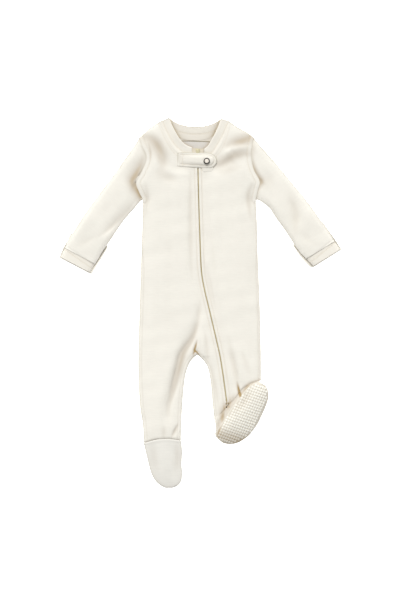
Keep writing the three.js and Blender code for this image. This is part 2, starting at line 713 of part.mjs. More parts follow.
/** One stretch of the neckband between its free edge and its seam, a seam gap clear of the panel. */
function neckband(part, steps, under) {
  const edge = curve(NECK_EDGES[part]);
  const seam = NECK_SEAM[part];
  const strip = (c, r) => {
    const [from, to] = [edge(c), seam(c)];
    const reach = 1 - SEAM / Math.hypot(to[0] - from[0], to[1] - from[1]);
    const place = mix(from, to, r * reach);
    return [...place, under(c)];
  };
  const sheet = new Surface().patch(steps, 3, strip);
  return named(`neckband_${part}`, sheet.thicken(RIB), FINISHES.rib);
}

const backBandTop = RIB + LAYER;
const neckbands = () => [
  neckband('left', STEPS.neck, (c) => lerp(backBandTop, NECK_FLOOR, smoothstep(c, 0, 0.5))),
  neckband('back', STEPS.neck + 1, () => 0),
  neckband('right', STEPS.neck, (c) => lerp(NECK_FLOOR, backBandTop, smoothstep(c, 0.5, 1))),
];

function label() {
  const mesh = named('label', new THREE.BoxGeometry(LABEL.wide, LABEL.long, RIBBON), FINISHES.label);
  mesh.position.set(LABEL.x, LABEL.y, FRONT_FLOOR + RIBBON / 2);
  mesh.rotation.z = degToRad(LABEL.turn);
  return mesh;
}

// ---- Zip ---------------------------------------------------------------------------------------

const ZIP_ROWS = 30;

/** A strip that follows the zip between two distances from its centre line. */
function zipStrip(name, from, to, top, bottom, wall, material) {
  const level = levels(top, bottom);
  const strip = ruled(
    (r) => [zipX(level(r)) + from, level(r)],
    (r) => [zipX(level(r)) + to, level(r)],
  );
  const sheet = new Surface().patch(1, ZIP_ROWS, raised(strip, (x, y) => tapeUnder(y)));
  return named(name, sheet.thicken(wall), material);
}

function zip() {
  const inner = ZIP.coil + SEAM;
  const outer = inner + ZIP.tape - SEAM;
  const { wide, long, high } = ZIP_STOP;
  const stopLevel = ZIP.bottom + long / 2 + SEAM;
  const stop = named('zip_stop', new THREE.BoxGeometry(wide, long, high), FINISHES.slider);
  stop.position.set(zipX(stopLevel), stopLevel, FRONT_FLOOR + high / 2);
  const coilBottom = ZIP.bottom + long + 2 * SEAM;
  return [
    zipStrip('zip_tape_left', -outer, -inner, ZIP.top - 1, ZIP.bottom - 3, RIBBON, FINISHES.tape),
    zipStrip('zip_tape_right', inner, outer, ZIP.top - 2, ZIP.bottom + 6, RIBBON, FINISHES.tape),
    zipStrip('zip_coil', -ZIP.coil, ZIP.coil, ZIP.top - 3, coilBottom, ZIP.high, FINISHES.coil),
    stop,
    slider(),
    pull(),
  ];
}

/** Slider body: wide where the coils part at the top, narrower below, with bevelled edges. */
function slider() {
  const { long, wide, high, bevel } = SLIDER;
  const shape = new THREE.Shape();
  shape.moveTo(-wide * 0.3, -long / 2);
  shape.lineTo(wide * 0.3, -long / 2);
  shape.lineTo(wide * 0.42, 0);
  shape.lineTo(wide * 0.42, long * 0.34);
  shape.quadraticCurveTo(wide * 0.4, long / 2, 0, long * 0.46);
  shape.quadraticCurveTo(-wide * 0.4, long / 2, -wide * 0.42, long * 0.34);
  shape.lineTo(-wide * 0.42, 0);
  shape.closePath();
  const geometry = new THREE.ExtrudeGeometry(shape, {
    depth: high - 2 * bevel,
    bevelThickness: bevel,
    bevelSize: bevel,
    bevelSegments: 2,
    curveSegments: 5,
  });
  const mesh = named('zip_slider', geometry, FINISHES.slider);
  mesh.position.set(zipX(SLIDER.y), SLIDER.y, NECK_FLOOR + ZIP.high + LAYER + bevel);
  return mesh;
}

/** Pull tab, held flat under the snap tab: a plate with a window. */
function pull() {
  const { y, under, wide, long, thick } = PULL;
  const shape = new THREE.Shape();
  shape.moveTo(-wide / 2, 0);
  shape.lineTo(wide / 2, 0);
  shape.lineTo(wide / 2, long - wide / 2);
  shape.absarc(0, long - wide / 2, wide / 2, 0, Math.PI, false);
  shape.closePath();
  const window = new THREE.Path();
  window.absarc(0, long - wide / 2, PULL.window, 0, 2 * Math.PI, true);
  shape.holes.push(window);
  const extrusion = { depth: thick, bevelEnabled: false, curveSegments: 8 };
  const mesh = named('zip_pull', new THREE.ExtrudeGeometry(shape, extrusion), FINISHES.slider);
  mesh.position.set(zipX(y), y, under);
  return mesh;
}

// ---- Snap tab ----------------------------------------------------------------------------------

/** The place of a point that is `along` and `across` the snap tab. */
function onTab(along, across) {
  const [cos, sin] = [Math.cos(degToRad(TAB.turn)), Math.sin(degToRad(TAB.turn))];
  return [TAB.x + along * cos - across * sin, TAB.y + along * sin + across * cos];
}

const tabHalf = column(TAB_SECTIONS, 'along', 'half');
const tabUnder = column(TAB_SECTIONS, 'along', 'under');

function snapTab() {
  const length = TAB_SECTIONS[TAB_SECTIONS.length - 1].along;
  const sheet = new Surface().patch(14, 4, (c, r) => {
    const along = length * Math.sin((Math.PI / 2) * c);
    const across = tabHalf(along) * (1 - 2 * r);
    const sag = 0.5 * (1 - 2 * r) ** 2;
    return [...onTab(along, across), tabUnder(along) - sag];
  });
  return named('snap_tab', sheet.thicken(CLOTH), FINISHES.cotton);
}

/** Patch that carries the snap's stud on the right front; its lower corner shows below the tab. */
function tabPatch() {
  const { x, y, wide, long, corner } = PATCH;
  const sheet = new Surface().patch(4, 5, (c, r) => {
    const rounding = 1 - (corner / wide) * Math.abs(2 * r - 1) ** 6;
    const place = [x + wide * (c - 0.5) * rounding, y + long * (0.5 - r)];
    return [...place, frontUnder(...place) + CLOTH + LAYER];
  });
  return named('tab_patch', sheet.thicken(RIBBON), FINISHES.cotton);
}

/** Open ring of the snap: a flat metal ring with a rounded face, turned about its axis. */
function snapRing() {
  const { ring, hole, ringHigh } = SNAP;
  const middle = (ring + hole) / 2;
  const profile = [
    [hole, 0], [ring, 0], [ring, ringHigh * 0.5], [middle, ringHigh], [hole, ringHigh * 0.5], [hole, 0],
  ];
  const geometry = new THREE.LatheGeometry(profile.map(([x, y]) => new THREE.Vector2(x, y)), 28);
  geometry.rotateX(Math.PI / 2);
  const mesh = named('snap_ring', geometry, FINISHES.metal);
  mesh.position.set(...onTab(TAB.snap, 0), tabUnder(TAB.snap) + CLOTH + LAYER);
  return mesh;
}

function snapStud() {
  const { stud, studHigh } = SNAP;
  const geometry = new THREE.CylinderGeometry(stud, stud, studHigh, 20);
  geometry.rotateX(Math.PI / 2);
  const mesh = named('snap_stud', geometry, FINISHES.metal);
  mesh.position.set(...onTab(TAB.snap, 0), tabUnder(TAB.snap) - 2 * LAYER - studHigh / 2);
  return mesh;
}

// ---- Sleeves -----------------------------------------------------------------------------------

const SLEEVE_AROUND = 2 * STEPS.armhole;
const HOLLOW = 0.5; // least room left inside a flattened tube
const EDGE_HEIGHT = 1.4; // height of a flattened tube's edge above its underside

/**
 * The outer and inner ring of a flattened tube between two edge places. `bend(u)` moves a point of the
 * section in plan, from the outer edge at u = 0 to the inner edge at u = 1.
 */
function tubeSection(outer, inner, high, lift, wall, bend) {
  const inset = wall / Math.hypot(outer[0] - inner[0], outer[1] - inner[1]);
  const ring = (thick) => Array.from({ length: SLEEVE_AROUND }, (_, i) => {
    const onTop = i <= STEPS.armhole;
    const u = onTop ? i / STEPS.armhole : (SLEEVE_AROUND - i) / STEPS.armhole;
    const share = thick ? lerp(inset, 1 - inset, u) : u;
    const moved = bend(u);
    const [x, y] = mix(outer, inner, share).map((value, axis) => value + moved[axis]);
    const edge = lift + EDGE_HEIGHT;
    const arch = Math.sqrt(1 - Math.abs(2 * u - 1) ** 3.2);
    if (!onTop) return [x, y, lift + thick];
    if (u === 0 || u === 1) return [x, y, edge];
    const top = edge + (high - EDGE_HEIGHT) * arch + foldHeight(x, y) * arch;
    return [x, y, Math.max(top, lift + 2 * wall + HOLLOW) - thick];
  });
  return { outside: ring(0), inside: ring(wall) };
}

/** A tube with open ends from its sections: an outer skin, an inner skin and two end rings. */
function tube(sections) {
  const outside = sections.map((section) => section.outside);
  const inside = sections.map((section) => section.inside).reverse();
  return new Surface().skin([...outside, ...inside, outside[0]]).geometry();
}

const toward = (side) => (side === 'left' ? -1 : 1);

function sleeve(side) {
  const rows = SLEEVES[side].sections.map((row, index) => ({ ...row, index }));
  const read = (name) => column(rows, 'index', name);
  const [outerX, outerY, innerX, innerY] = ['outerX', 'outerY', 'innerX', 'innerY'].map(read);
  const [high, lift] = [read('high'), read('lift')];
  const armhole = ARMHOLE[side];
  const sections = Array.from({ length: STEPS.sleeve + 1 }, (_, k) => {
    const at = (k / STEPS.sleeve) * (rows.length - 1);
    const near = Math.max(1 - at / 3, 0) ** 2;
    const bend = (u) => {
      const straight = mix(armhole(0), armhole(1), u);
      const [x, y] = armhole(u);
      return [(x - straight[0]) * near + toward(side) * 2 * SEAM * near, (y - straight[1]) * near];
    };
    const atArmhole = k === 0;
    const outer = atArmhole ? armhole(0) : [outerX(at), outerY(at)];
    const inner = atArmhole ? armhole(1) : [innerX(at), innerY(at)];
    return tubeSection(outer, inner, high(at), lift(at), CLOTH, bend);
  });
  return named(`sleeve_${side}`, tube(sections), FINISHES.cotton);
}

/** Wrist band: a short tube from the sleeve's end to the hem. */
function cuff(side) {
  const { sections, hem } = SLEEVES[side];
  const wrist = sections[sections.length - 1];
  const edge = (name) => {
    const from = [wrist[`${name}X`], wrist[`${name}Y`]];
    const to = [hem[`${name}X`], hem[`${name}Y`]];
    const gap = SEAM / Math.hypot(to[0] - from[0], to[1] - from[1]);
    return (t) => mix(from, to, lerp(gap, 1, t));
  };
  const [outer, inner] = [edge('outer'), edge('inner')];
  const straight = () => [0, 0];
  const rings = [0, 0.5, 1].map((t) => {
    return tubeSection(outer(t), inner(t), wrist.high + 0.3, wrist.lift, RIB, straight);
  });
  return named(`cuff_${side}`, tube(rings), FINISHES.rib);
}

/** Fold-over mitt, turned back and lying under the end of the sleeve. */
function mitt(side) {
  const { mitt: corners, bow } = SLEEVES[side];
  const plan = (c, r) => {
    const top = mix(corners.topOuter, corners.topInner, c);
    const [x, y] = mix(top, mix(corners.hemOuter, corners.hemInner, c), r);
    const out = bow * c * Math.sin(Math.PI * r);
    return [x - toward(side) * out, y - out];
  };
  const sheet = new Surface().patch(4, 4, raised(plan, () => 0));
  return named(`mitt_${side}`, sheet.thicken(CLOTH), FINISHES.cotton);
}

// ---- Feet --------------------------------------------------------------------------------------

const footLeft = column(LEFT_FOOT, 'y', 'left');
const footRight = column(LEFT_FOOT, 'y', 'right');
const TOE = LEFT_FOOT[LEFT_FOOT.length - 1].y;

const LEFT_UPPER = { rows: 10, loft: 2.4, edge: 16 };

/** Upper of the left foot: a low dome from the ankle seam to the toe. */
function leftUpper() {
  const { rows, loft, edge } = LEFT_UPPER;
  const columns = NECK_COLUMNS - STEPS.inner;
  const seamEnds = { left: ANKLE.left(0)[1] - SEAM, right: ANKLE.left(1)[1] - SEAM };
  const bunch = (r) => 1 - (1 - r) ** 1.5; // shorter steps near the toe
  const level = (end) => (r) => lerp(end, TOE, bunch(r));
  const [leftLevel, rightLevel] = [level(seamEnds.left), level(seamEnds.right)];
  const plan = between(
    (c) => ANKLE.left(c).map((value, axis) => value - (axis ? SEAM : 0)),
    (c) => mix([footLeft(TOE), TOE], [footRight(TOE), TOE], c),
    (r) => [r ? footLeft(leftLevel(r)) : ANKLE.left(0)[0], leftLevel(r)],
    (r) => [r ? footRight(rightLevel(r)) : ANKLE.left(1)[0], rightLevel(r)],
  );
  const under = (x, y) => {
    const room = clamp(Math.min(x - footLeft(y), footRight(y) - x, y - TOE), 0, edge);
    return FRONT_FLOOR + loft * Math.sin((Math.PI / 2) * (room / edge)) + foldHeight(x, y);
  };
  const floor = (x, y) => Math.max(under(x, y), FRONT_FLOOR);
  const sheet = new Surface().patch(columns, rows, raised(plan, floor));
  return named('foot_left_upper', sheet.thicken(CLOTH), FINISHES.cotton);
}

const LEFT_SOLE = { across: 6, rows: 14, inset: 1.2 }; // inset: how far it lies inside the upper

/** Sole of the left foot, under the upper and up behind the ankle. */
function leftSole() {
  const { across, rows, inset } = LEFT_SOLE;
  const level = (r) => lerp(LEFT_SOLE_TOP - SEAM, TOE + inset, 1 - (1 - r) ** 1.4);
  const onSole = (y) => y < ANKLE.left(0)[1];
  const edges = (y) => (onSole(y) ? [footLeft(y), footRight(y)] : [sideLeft(y), innerLeft(y)]);
  const plan = ruled(
    (r) => [edges(level(r))[0] + inset, level(r)],
    (r) => [edges(level(r))[1] - inset, level(r)],
  );
  const sheet = new Surface().patch(across, rows, raised(plan, () => 0));
  return named('sole_left', sheet.thicken(CLOTH), FINISHES.sole);
}

const soleLeft = column(RIGHT_SOLE, 'along', 'left');
const soleRight = column(RIGHT_SOLE, 'along', 'right');
const soleRim = column(RIGHT_SOLE, 'along', 'rim');
const soleCrown = column(RIGHT_SOLE, 'along', 'crown');
const SOLE_COLUMNS = 10;
const SOLE_ROWS = 16;
const SOLE_LENGTH = RIGHT_SOLE[RIGHT_SOLE.length - 1].along;

/** A place `along` the right foot from its heel and `across` it to the right. */
function onFoot(along, across) {
  const angle = degToRad(RIGHT_FOOT.turn);
  const [cos, sin] = [Math.cos(angle), Math.sin(angle)];
  const { x, y } = RIGHT_FOOT.heel;
  return [x + along * cos + across * sin, y + along * sin - across * cos];
}

/** How far a place is along the right foot and across it, the other way round from onFoot. */
function fromFoot([x, y]) {
  const angle = degToRad(RIGHT_FOOT.turn);
  const [dx, dy] = [x - RIGHT_FOOT.heel.x, y - RIGHT_FOOT.heel.y];
  const [cos, sin] = [Math.cos(angle), Math.sin(angle)];
  return { along: dx * cos + dy * sin, across: dx * sin - dy * cos };
}

/** How far the folded upper reaches to the left: round the heel, and then along the ankle seam. */
const upperReach = (() => {
  const tenths = Array.from({ length: 10 }, (_, i) => (i + 0.5) / 10);
  const seam = [...tenths.map(ANKLE.rightInner), ...tenths.map(ANKLE.rightOuter)].map(fromFoot);
  const rows = seam.map(({ along, across }) => ({ along, reach: -across - 2.4 * SEAM }));
  return column([...HEEL_REACH, ...rows.filter((row) => row.along > 22)], 'along', 'reach');
})();

/** Stations along the foot, closer together towards the heel and the toe. */
const station = (r) => (SOLE_LENGTH / 2) * (1 - Math.cos(Math.PI * r));

/** Underside of the right sole; u runs across it from -1 on the left to 1 on the right. */
function soleUnder(along, u) {
  const across = u < 0 ? u * soleLeft(along) : u * soleRight(along);
  const place = onFoot(along, across);
  const dome = soleCrown(along) * (1 - Math.abs(u) ** 2.4);
  return [...place, soleRim(along) + dome + foldHeight(...place)];
}

function rightSole() {
  const under = (c, r) => soleUnder(station(1 - r), 2 * c - 1);
  const sheet = new Surface().patch(SOLE_COLUMNS, SOLE_ROWS, under);
  return named('sole_right', sheet.thicken(CLOTH), FINISHES.sole);
}

/** Upper of the right foot: its folded layers under the sole, out to the ankle seam on the left. */
function rightUpper() {
  const rings = Array.from({ length: SOLE_ROWS - 1 }, (_, k) => {
    const along = station((k + 1) / SOLE_ROWS);
    const [left, right, reach] = [soleLeft(along), soleRight(along), upperReach(along)];
    const top = Array.from({ length: SOLE_COLUMNS - 1 }, (__, i) => {
      const [x, y, z] = soleUnder(along, 1 - (2 * (i + 1)) / SOLE_COLUMNS);
      return [x, y, z - LAYER];
    });
    const rim = soleRim(along);
    const side = Math.max(right - SOLE_INSET, right * 0.86);
    const lip = Math.min(ANKLE_HEIGHT, rim - 0.6);
    return [
      [...onFoot(along, side - 0.6), 0],
      [...onFoot(along, side), rim * 0.5],
      ...top,
      [...onFoot(along, -Math.min(left, reach - 0.4)), rim - LAYER - 0.2],
      [...onFoot(along, -lerp(Math.min(left, reach - 0.4), reach, 0.5)), lerp(rim, lip, 0.5) - LAYER],
      [...onFoot(along, -reach), lip],
      [...onFoot(along, -reach), 0],
      [...onFoot(along, -reach / 2), 0],
      [...onFoot(along, 0), 0],
    ];
  });
  const solid = new Surface().skin(rings).lid(rings[0]).lid([...rings[rings.length - 1]].reverse());
  return named('foot_right_upper', solid.geometry(), FINISHES.cotton);
}

// ---- The garment -------------------------------------------------------------------------------

const sleepsuit = new THREE.Group();
sleepsuit.add(back(), frontLeft(), frontRight(), ...neckbands(), label(), ...zip());
sleepsuit.add(snapTab(), tabPatch(), snapRing(), snapStud());
for (const side of ['left', 'right']) sleepsuit.add(sleeve(side), cuff(side), mitt(side));
sleepsuit.add(leftUpper(), leftSole(), rightUpper(), rightSole());

export default sleepsuit;
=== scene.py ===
import logging
import math
from collections.abc import Callable, Sequence
from dataclasses import dataclass, field
from enum import Enum

import bmesh
import bpy
import numpy as np
from mathutils import Matrix, Vector
from mathutils.bvhtree import BVHTree
from mathutils.kdtree import KDTree


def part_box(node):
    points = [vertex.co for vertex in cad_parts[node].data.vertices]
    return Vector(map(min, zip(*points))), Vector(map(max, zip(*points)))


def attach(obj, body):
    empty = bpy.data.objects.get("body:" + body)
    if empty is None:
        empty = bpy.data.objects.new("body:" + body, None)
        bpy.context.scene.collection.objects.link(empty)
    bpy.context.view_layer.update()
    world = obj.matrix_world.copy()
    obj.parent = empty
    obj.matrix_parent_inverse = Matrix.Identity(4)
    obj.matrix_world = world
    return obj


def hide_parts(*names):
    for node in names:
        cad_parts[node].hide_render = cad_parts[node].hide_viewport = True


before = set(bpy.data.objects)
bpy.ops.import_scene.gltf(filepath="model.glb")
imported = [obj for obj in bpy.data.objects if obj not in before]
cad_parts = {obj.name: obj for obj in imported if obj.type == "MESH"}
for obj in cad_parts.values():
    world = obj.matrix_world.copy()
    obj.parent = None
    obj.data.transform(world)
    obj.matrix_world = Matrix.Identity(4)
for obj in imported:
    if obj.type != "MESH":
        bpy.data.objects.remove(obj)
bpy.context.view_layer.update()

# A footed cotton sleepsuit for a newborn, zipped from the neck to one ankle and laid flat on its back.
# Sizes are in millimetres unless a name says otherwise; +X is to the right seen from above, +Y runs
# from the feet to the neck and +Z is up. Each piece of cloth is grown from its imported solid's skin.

LOG = logging.getLogger("sleepsuit")
MM = 0.001
ROOT = "root"
UP, DOWN = Vector((0, 0, 1)), Vector((0, 0, -1))
OVER, UNDER = 60.0, -5.0  # levels above and below the whole garment

Points = Sequence[tuple[float, float]]


# ---- Lines in plan ----


def even_curve(points: Points, step: float) -> np.ndarray:
    """Samples a smooth curve through some places.

    Args:
        points: The places that it goes through.
        step: Distance between samples.

    Returns:
        One row for each sample.
    """
    given = np.asarray(points, float)
    ends = np.vstack([2 * given[0] - given[1], given, 2 * given[-1] - given[-2]])
    t = np.linspace(0, 1, 24, endpoint=False)[:, None]
    stretches = [
        0.5 * (2 * b + (c - a) * t + (2 * a - 5 * b + 4 * c - d) * t**2 + (3 * b - a - 3 * c + d) * t**3)
        for a, b, c, d in zip(ends, ends[1:], ends[2:], ends[3:])
    ]
    line = np.vstack([*stretches, given[-1:]])
    run = np.concatenate([[0], np.cumsum(np.linalg.norm(np.diff(line, axis=0), axis=1))])
    even = np.linspace(0, run[-1], max(round(run[-1] / step), 2) + 1)
    return np.column_stack([np.interp(even, run, line[:, axis]) for axis in range(given.shape[1])])


@dataclass
class Course:
    """A smooth line in plan, such as a seam or the path of a fold.

    Attributes:
        points: The places that it goes through.
        step: Distance between its samples.
        line: Its samples, one row for each.
        run: How far along it each sample lies.
    """

    points: Points
    step: float = 3.0
    line: np.ndarray = field(init=False)
    run: np.ndarray = field(init=False)

    def __post_init__(self) -> None:
        """Samples the line."""
        self.line = even_curve(self.points, self.step)
        lengths = np.linalg.norm(np.diff(self.line, axis=0), axis=1)
        self.run = np.concatenate([[0], np.cumsum(lengths)])

    @property
    def length(self) -> float:
        """Length of the line."""
        return float(self.run[-1])

    def locate(self, places: np.ndarray) -> tuple[np.ndarray, np.ndarray]:
        """Finds where places lie beside the line.

        Args:
            places: One row for each place, of which x and y are read.

        Returns:
            The distance to the left of the line, negative on its right, and the distance along it.
        """
        best = np.full(len(places), np.inf)
        side = np.zeros(len(places))
        along = np.zeros(len(places))
        flat = places[:, :2]
        for start, end, run in zip(self.line, self.line[1:], self.run):
            stretch = end - start
            length = np.linalg.norm(stretch)
            share = np.clip((flat - start) @ stretch / length**2, 0, 1)
            off = flat - start - share[:, None] * stretch
            distance = np.hypot(off[:, 0], off[:, 1])
            near = distance < best
            best[near] = distance[near]
            turn = stretch[0] * off[near, 1] - stretch[1] * off[near, 0]
            side[near] = np.where(turn < 0, -1, 1) * distance[near]
            along[near] = run + share[near] * length
        return side, along

    def gap(self, places: np.ndarray) -> np.ndarray:
        """How far each place lies from the line, on either side."""
        return np.abs(self.locate(places)[0])

    def at(self, distance: float) -> tuple[np.ndarray, np.ndarray]:
        """Finds a place on the line and the line's direction there.

        Args:
            distance: How far along it.

        Returns:
            The place, and a unit vector.
        """
        place = np.array([np.interp(distance, self.run, self.line[:, axis]) for axis in (0, 1)])
        index = int(np.clip(np.searchsorted(self.run, distance) - 1, 0, len(self.line) - 2))
        direction = self.line[index + 1] - self.line[index]
        return place, direction / np.linalg.norm(direction)

    def leftward(self, along: np.ndarray) -> np.ndarray:
        """Finds unit vectors to the left of the line.

        Args:
            along: Distances along it.

        Returns:
            One row for each distance.
        """
        ahead = np.gradient(self.line, axis=0)
        ahead /= np.linalg.norm(ahead, axis=1)[:, None]
        return np.column_stack([np.interp(along, self.run, way) for way in (-ahead[:, 1], ahead[:, 0])])

    def beside(self, offset: float) -> "Course":
        """The line that runs a distance to the left of this one, or to the right if negative."""
        return Course(self.line + offset * self.leftward(self.run), self.step)

    def part(self, start: float, end: float) -> "Course":
        """Cuts out the stretch between two distances along the line.

        Args:
            start: Where it begins.
            end: Where it ends.

        Returns:
            The stretch.
        """
        inside = (self.run > start) & (self.run < end)
        ends = [self.at(start)[0], self.at(end)[0]]
        return Course(np.vstack([ends[0], self.line[inside], ends[1]]), self.step)


ZIP_LINE = Course(
    ((-3.4, 240), (-3.1, 207), (0.0, 97), (2.2, 49), (6.1, 24), (14.6, -12), (27.2, -66), (32.1, -89),
     (38.3, -131), (42.3, -162))
)
ARMHOLE_LEFT = Course(
    ((-94.2, 254.8), (-89.0, 240.0), (-83.4, 229.0), (-83.6, 218.5), (-90.6, 202.0), (-99.0, 185.5),
     (-95.8, 174.0), (-88.8, 159.0))
)
ARMHOLE_RIGHT = Course(
    ((83.4, 255.0), (80.0, 240.0), (79.4, 224.0), (83.2, 206.0), (92.6, 186.5), (89.6, 174.0),
     (86.5, 159.0))
)
SHOULDER_LEFT = Course(((-94.2, 254.8), (-77.4, 270.6), (-62.8, 279.6)))
SHOULDER_RIGHT = Course(((45.4, 280.6), (75.4, 262.0), (83.4, 255.0)))
NECK_SEAM_LEFT = Course(
    ((-62.8, 279.6), (-51.6, 254.0), (-39.4, 234.6), (-27.0, 226.2), (-12.7, 222.6))
)
NECK_SEAM_RIGHT = Course(((6.5, 221.4), (16.8, 223.6), (26.4, 231.2), (36.8, 250.6), (45.4, 280.6)))
NECK_EDGE_LEFT = Course(
    ((-48.2, 286.2), (-38.8, 265.8), (-29.5, 251.1), (-20.6, 243.4), (-12.7, 240.2))
)
NECK_EDGE_BACK = Course(
    ((-48.2, 286.2), (-37.7, 279.0), (-22.0, 273.8), (-7.8, 272.3), (7.0, 273.4), (22.2, 278.2),
     (32.6, 284.6))
)
NECK_SEAM_BACK = Course(
    ((-52.3, 267.5), (-39.4, 258.1), (-24.4, 252.6), (-8.5, 251.0), (7.4, 252.6), (22.2, 258.6),
     (34.8, 268.6))
)
NECK_EDGE_RIGHT = Course(((6.5, 238.0), (10.9, 241.2), (17.1, 250.8), (24.6, 264.6), (32.6, 284.6)))
TAB_LINE = Course(((-34.9, 221.6), (22.0, 219.2)))
ANKLE_LEFT = Course(((-87.4, -217.0), (-67.0, -211.6), (-49.0, -210.4), (-29.6, -213.0)))
ANKLE_RIGHT = Course(
    ((22.0, -182.0), (31.6, -171.0), (42.2, -160.4), (53.6, -148.0), (62.6, -135.0), (76.0, -126.4),
     (93.6, -120.6))
)


# ---- Folds ----


@dataclass(frozen=True)
class Fold:
    """A soft ridge or trough along a short path.

    Attributes:
        path: Places that it goes through.
        left: Its half width on the left of the path.
        right: Its half width on the right.
        rise: Its height, negative for a trough.
        tone: How much shade is painted in it: 1 is soft shade, and 2 is the darkest.
    """

    path: Points
    left: float
    right: float
    rise: float
    tone: float = 0.0

    def share(self, places: np.ndarray) -> np.ndarray:
        """Says how much of the fold each place has.

        Args:
            places: One row for each place.

        Returns:
            1 on its middle, and less sideways and towards its ends.
        """
        course = Course(self.path, 4.0)
        side, along = course.locate(places)
        fade = np.clip(np.sin(np.pi * along / course.length), 0, 1)
        wide = np.where(side > 0, self.left, self.right) * (0.5 + 0.5 * fade)
        return fade * np.exp(-((side / wide) ** 2))


ANKLE_FOLDS = (
    # Where the right leg meets its turned foot: a deep crease, and the crumpled cloth at the zip's end,
    # with deep shade painted in.
    Fold(((57.0, -121), (59.2, -131), (61.2, -139), (63.2, -147), (65.2, -155)), 1.9, 2.4, -1.3, 2.4),
    Fold(((59, -150), (66, -139), (73, -131), (82, -125.5), (96, -119)), 4.2, 5.0, -0.4, 1.5),
    Fold(((60, -138), (52, -149), (46, -156.5), (40, -163.5), (35.5, -171), (33, -184), (33, -194)),
         7.5, 7.5, -0.4, 1.5),
    Fold(((37, -170), (35.5, -177), (34, -184), (34, -191)), 2.8, 3.2, -0.8, 0.7),
    Fold(((27, -178), (28.5, -189), (31, -202)), 3.0, 3.4, -0.3, 1.0),
    Fold(((47, -152), (42, -161), (40, -171)), 1.5, 1.5, 1.0, -0.3),
    Fold(((41, -164), (38.5, -171), (39, -178)), 1.3, 1.3, 0.9, -0.3),
    Fold(((37, -157), (43, -161), (48, -163.5)), 1.4, 1.4, -0.9, 0.4),
)

BODY_FOLDS = (
    # Left shoulder and chest.
    Fold(((-100, 262), (-84, 256), (-69, 248), (-61, 235), (-57, 218), (-59, 200)), 9, 12, -1.4, 1.25),
    Fold(((-80.5, 249), (-77.6, 238), (-76.4, 228), (-78, 217)), 1.8, 1.8, -0.5, 0.7),
    Fold(((-72, 236), (-69, 221), (-68, 200)), 4, 5, 0.6, -0.2),
    Fold(((-62, 262), (-52, 240), (-45, 216)), 6, 6, 0.5),
    Fold(((-72, 208), (-56, 197), (-34, 188)), 8, 9, -0.4, 0.35),
    # Right shoulder and chest.
    Fold(((98, 266), (80, 257), (65, 250), (50, 247), (34, 240)), 10, 9, -0.9, 1.35),
    Fold(((82, 240), (68, 240), (50, 237), (30, 228)), 4.5, 4.5, 0.9, -0.3),
    Fold(((88, 230), (70, 230), (54, 227), (38, 219), (16, 208)), 7, 9, -0.9, 1.1),
    Fold(((66, 210), (46, 206), (24, 199)), 7, 9, -0.4, 0.4),
    # Beside the armpits.
    Fold(((-86, 190), (-82, 164), (-84, 130)), 4, 6, -0.8, 0.4),
    Fold(((85, 192), (79, 179), (75, 166), (76, 148), (79, 126)), 5, 4, -0.8, 0.6),
    # Under the tab, and down the body.
    Fold(((-14, 202), (4, 205), (22, 210), (40, 226)), 7, 7, 1.5),
    Fold(((-15, 214), (-14.6, 160), (-14.0, 90), (-12, 30)), 4, 4, -0.8, 0.3),
    Fold(((20, 108), (22, 66), (25, 30)), 4, 5, -0.6, 0.1),
    Fold(((10, 60), (16, 22), (26, -20)), 3, 4, -0.7, 0.15),
    Fold(((-70, 150), (-66, 60), (-68, -40)), 18, 18, 0.9),
    Fold(((45, 160), (50, 60), (46, -40)), 20, 20, 0.8),
    # Round the crotch.
    Fold(((1, 6), (-2, -20), (-7, -42), (-16, -62), (-27, -81), (-33, -106), (-43, -141), (-48, -165),
          (-47.5, -194)), 5.5, 7, -2.6, 0.5),
    Fold(((-3, -28), (-11, -54), (-24, -76), (-32, -104), (-41, -136), (-46, -158)), 4.5, 7, -1.4, 0.7),
    Fold(((-4, -20), (-10, -46), (-20, -64), (-27, -92), (-34, -124)), 4, 4, 0.7),
    Fold(((-4.0, -56), (-6.2, -66), (-8.6, -75), (-11, -86)), 1.5, 2.2, -1.5, 2.3),
    Fold(((-3, -60), (-3.6, -68), (-6, -76)), 1.2, 1.2, 0.9, -0.3),
    Fold(((-10, -72), (-5, -77), (1, -84)), 1.6, 1.6, -0.9, 2.2),
    Fold(((7, -42), (10, -64), (13, -100)), 3.4, 3.4, -0.8, 0.3),
    Fold(((3, -52), (6, -74), (9, -96)), 2.6, 2.6, 0.7),
    # Left leg.
    Fold(((-36, -60), (-46, -104), (-58, -150), (-62, -196)), 8, 10, 1.2),
    Fold(((-33, -186), (-39, -199), (-45, -211)), 2.0, 2.4, -1.4, 0.9),
    Fold(((-28, -190), (-33, -202), (-38, -212)), 2.0, 2.0, 0.8),
    Fold(((-56, -190), (-56, -204), (-57, -214)), 3.4, 3.4, -0.6, 0.4),
    # Right leg.
    Fold(((44, -50), (50, -84), (55, -108), (60, -144)), 4, 6, -0.9, 0.2),
    Fold(((54, -62), (61, -96), (67, -130)), 5, 5, 1.1),
    Fold(((64, -74), (72, -96), (80, -118)), 4, 6, -0.6, 0.2),
    Fold(((38, -70), (45, -104), (50, -146)), 4, 4, 0.9),
    Fold(((15, -86), (23, -126), (30, -172)), 3.4, 3.4, -0.9, 0.3),
    *ANKLE_FOLDS,
)

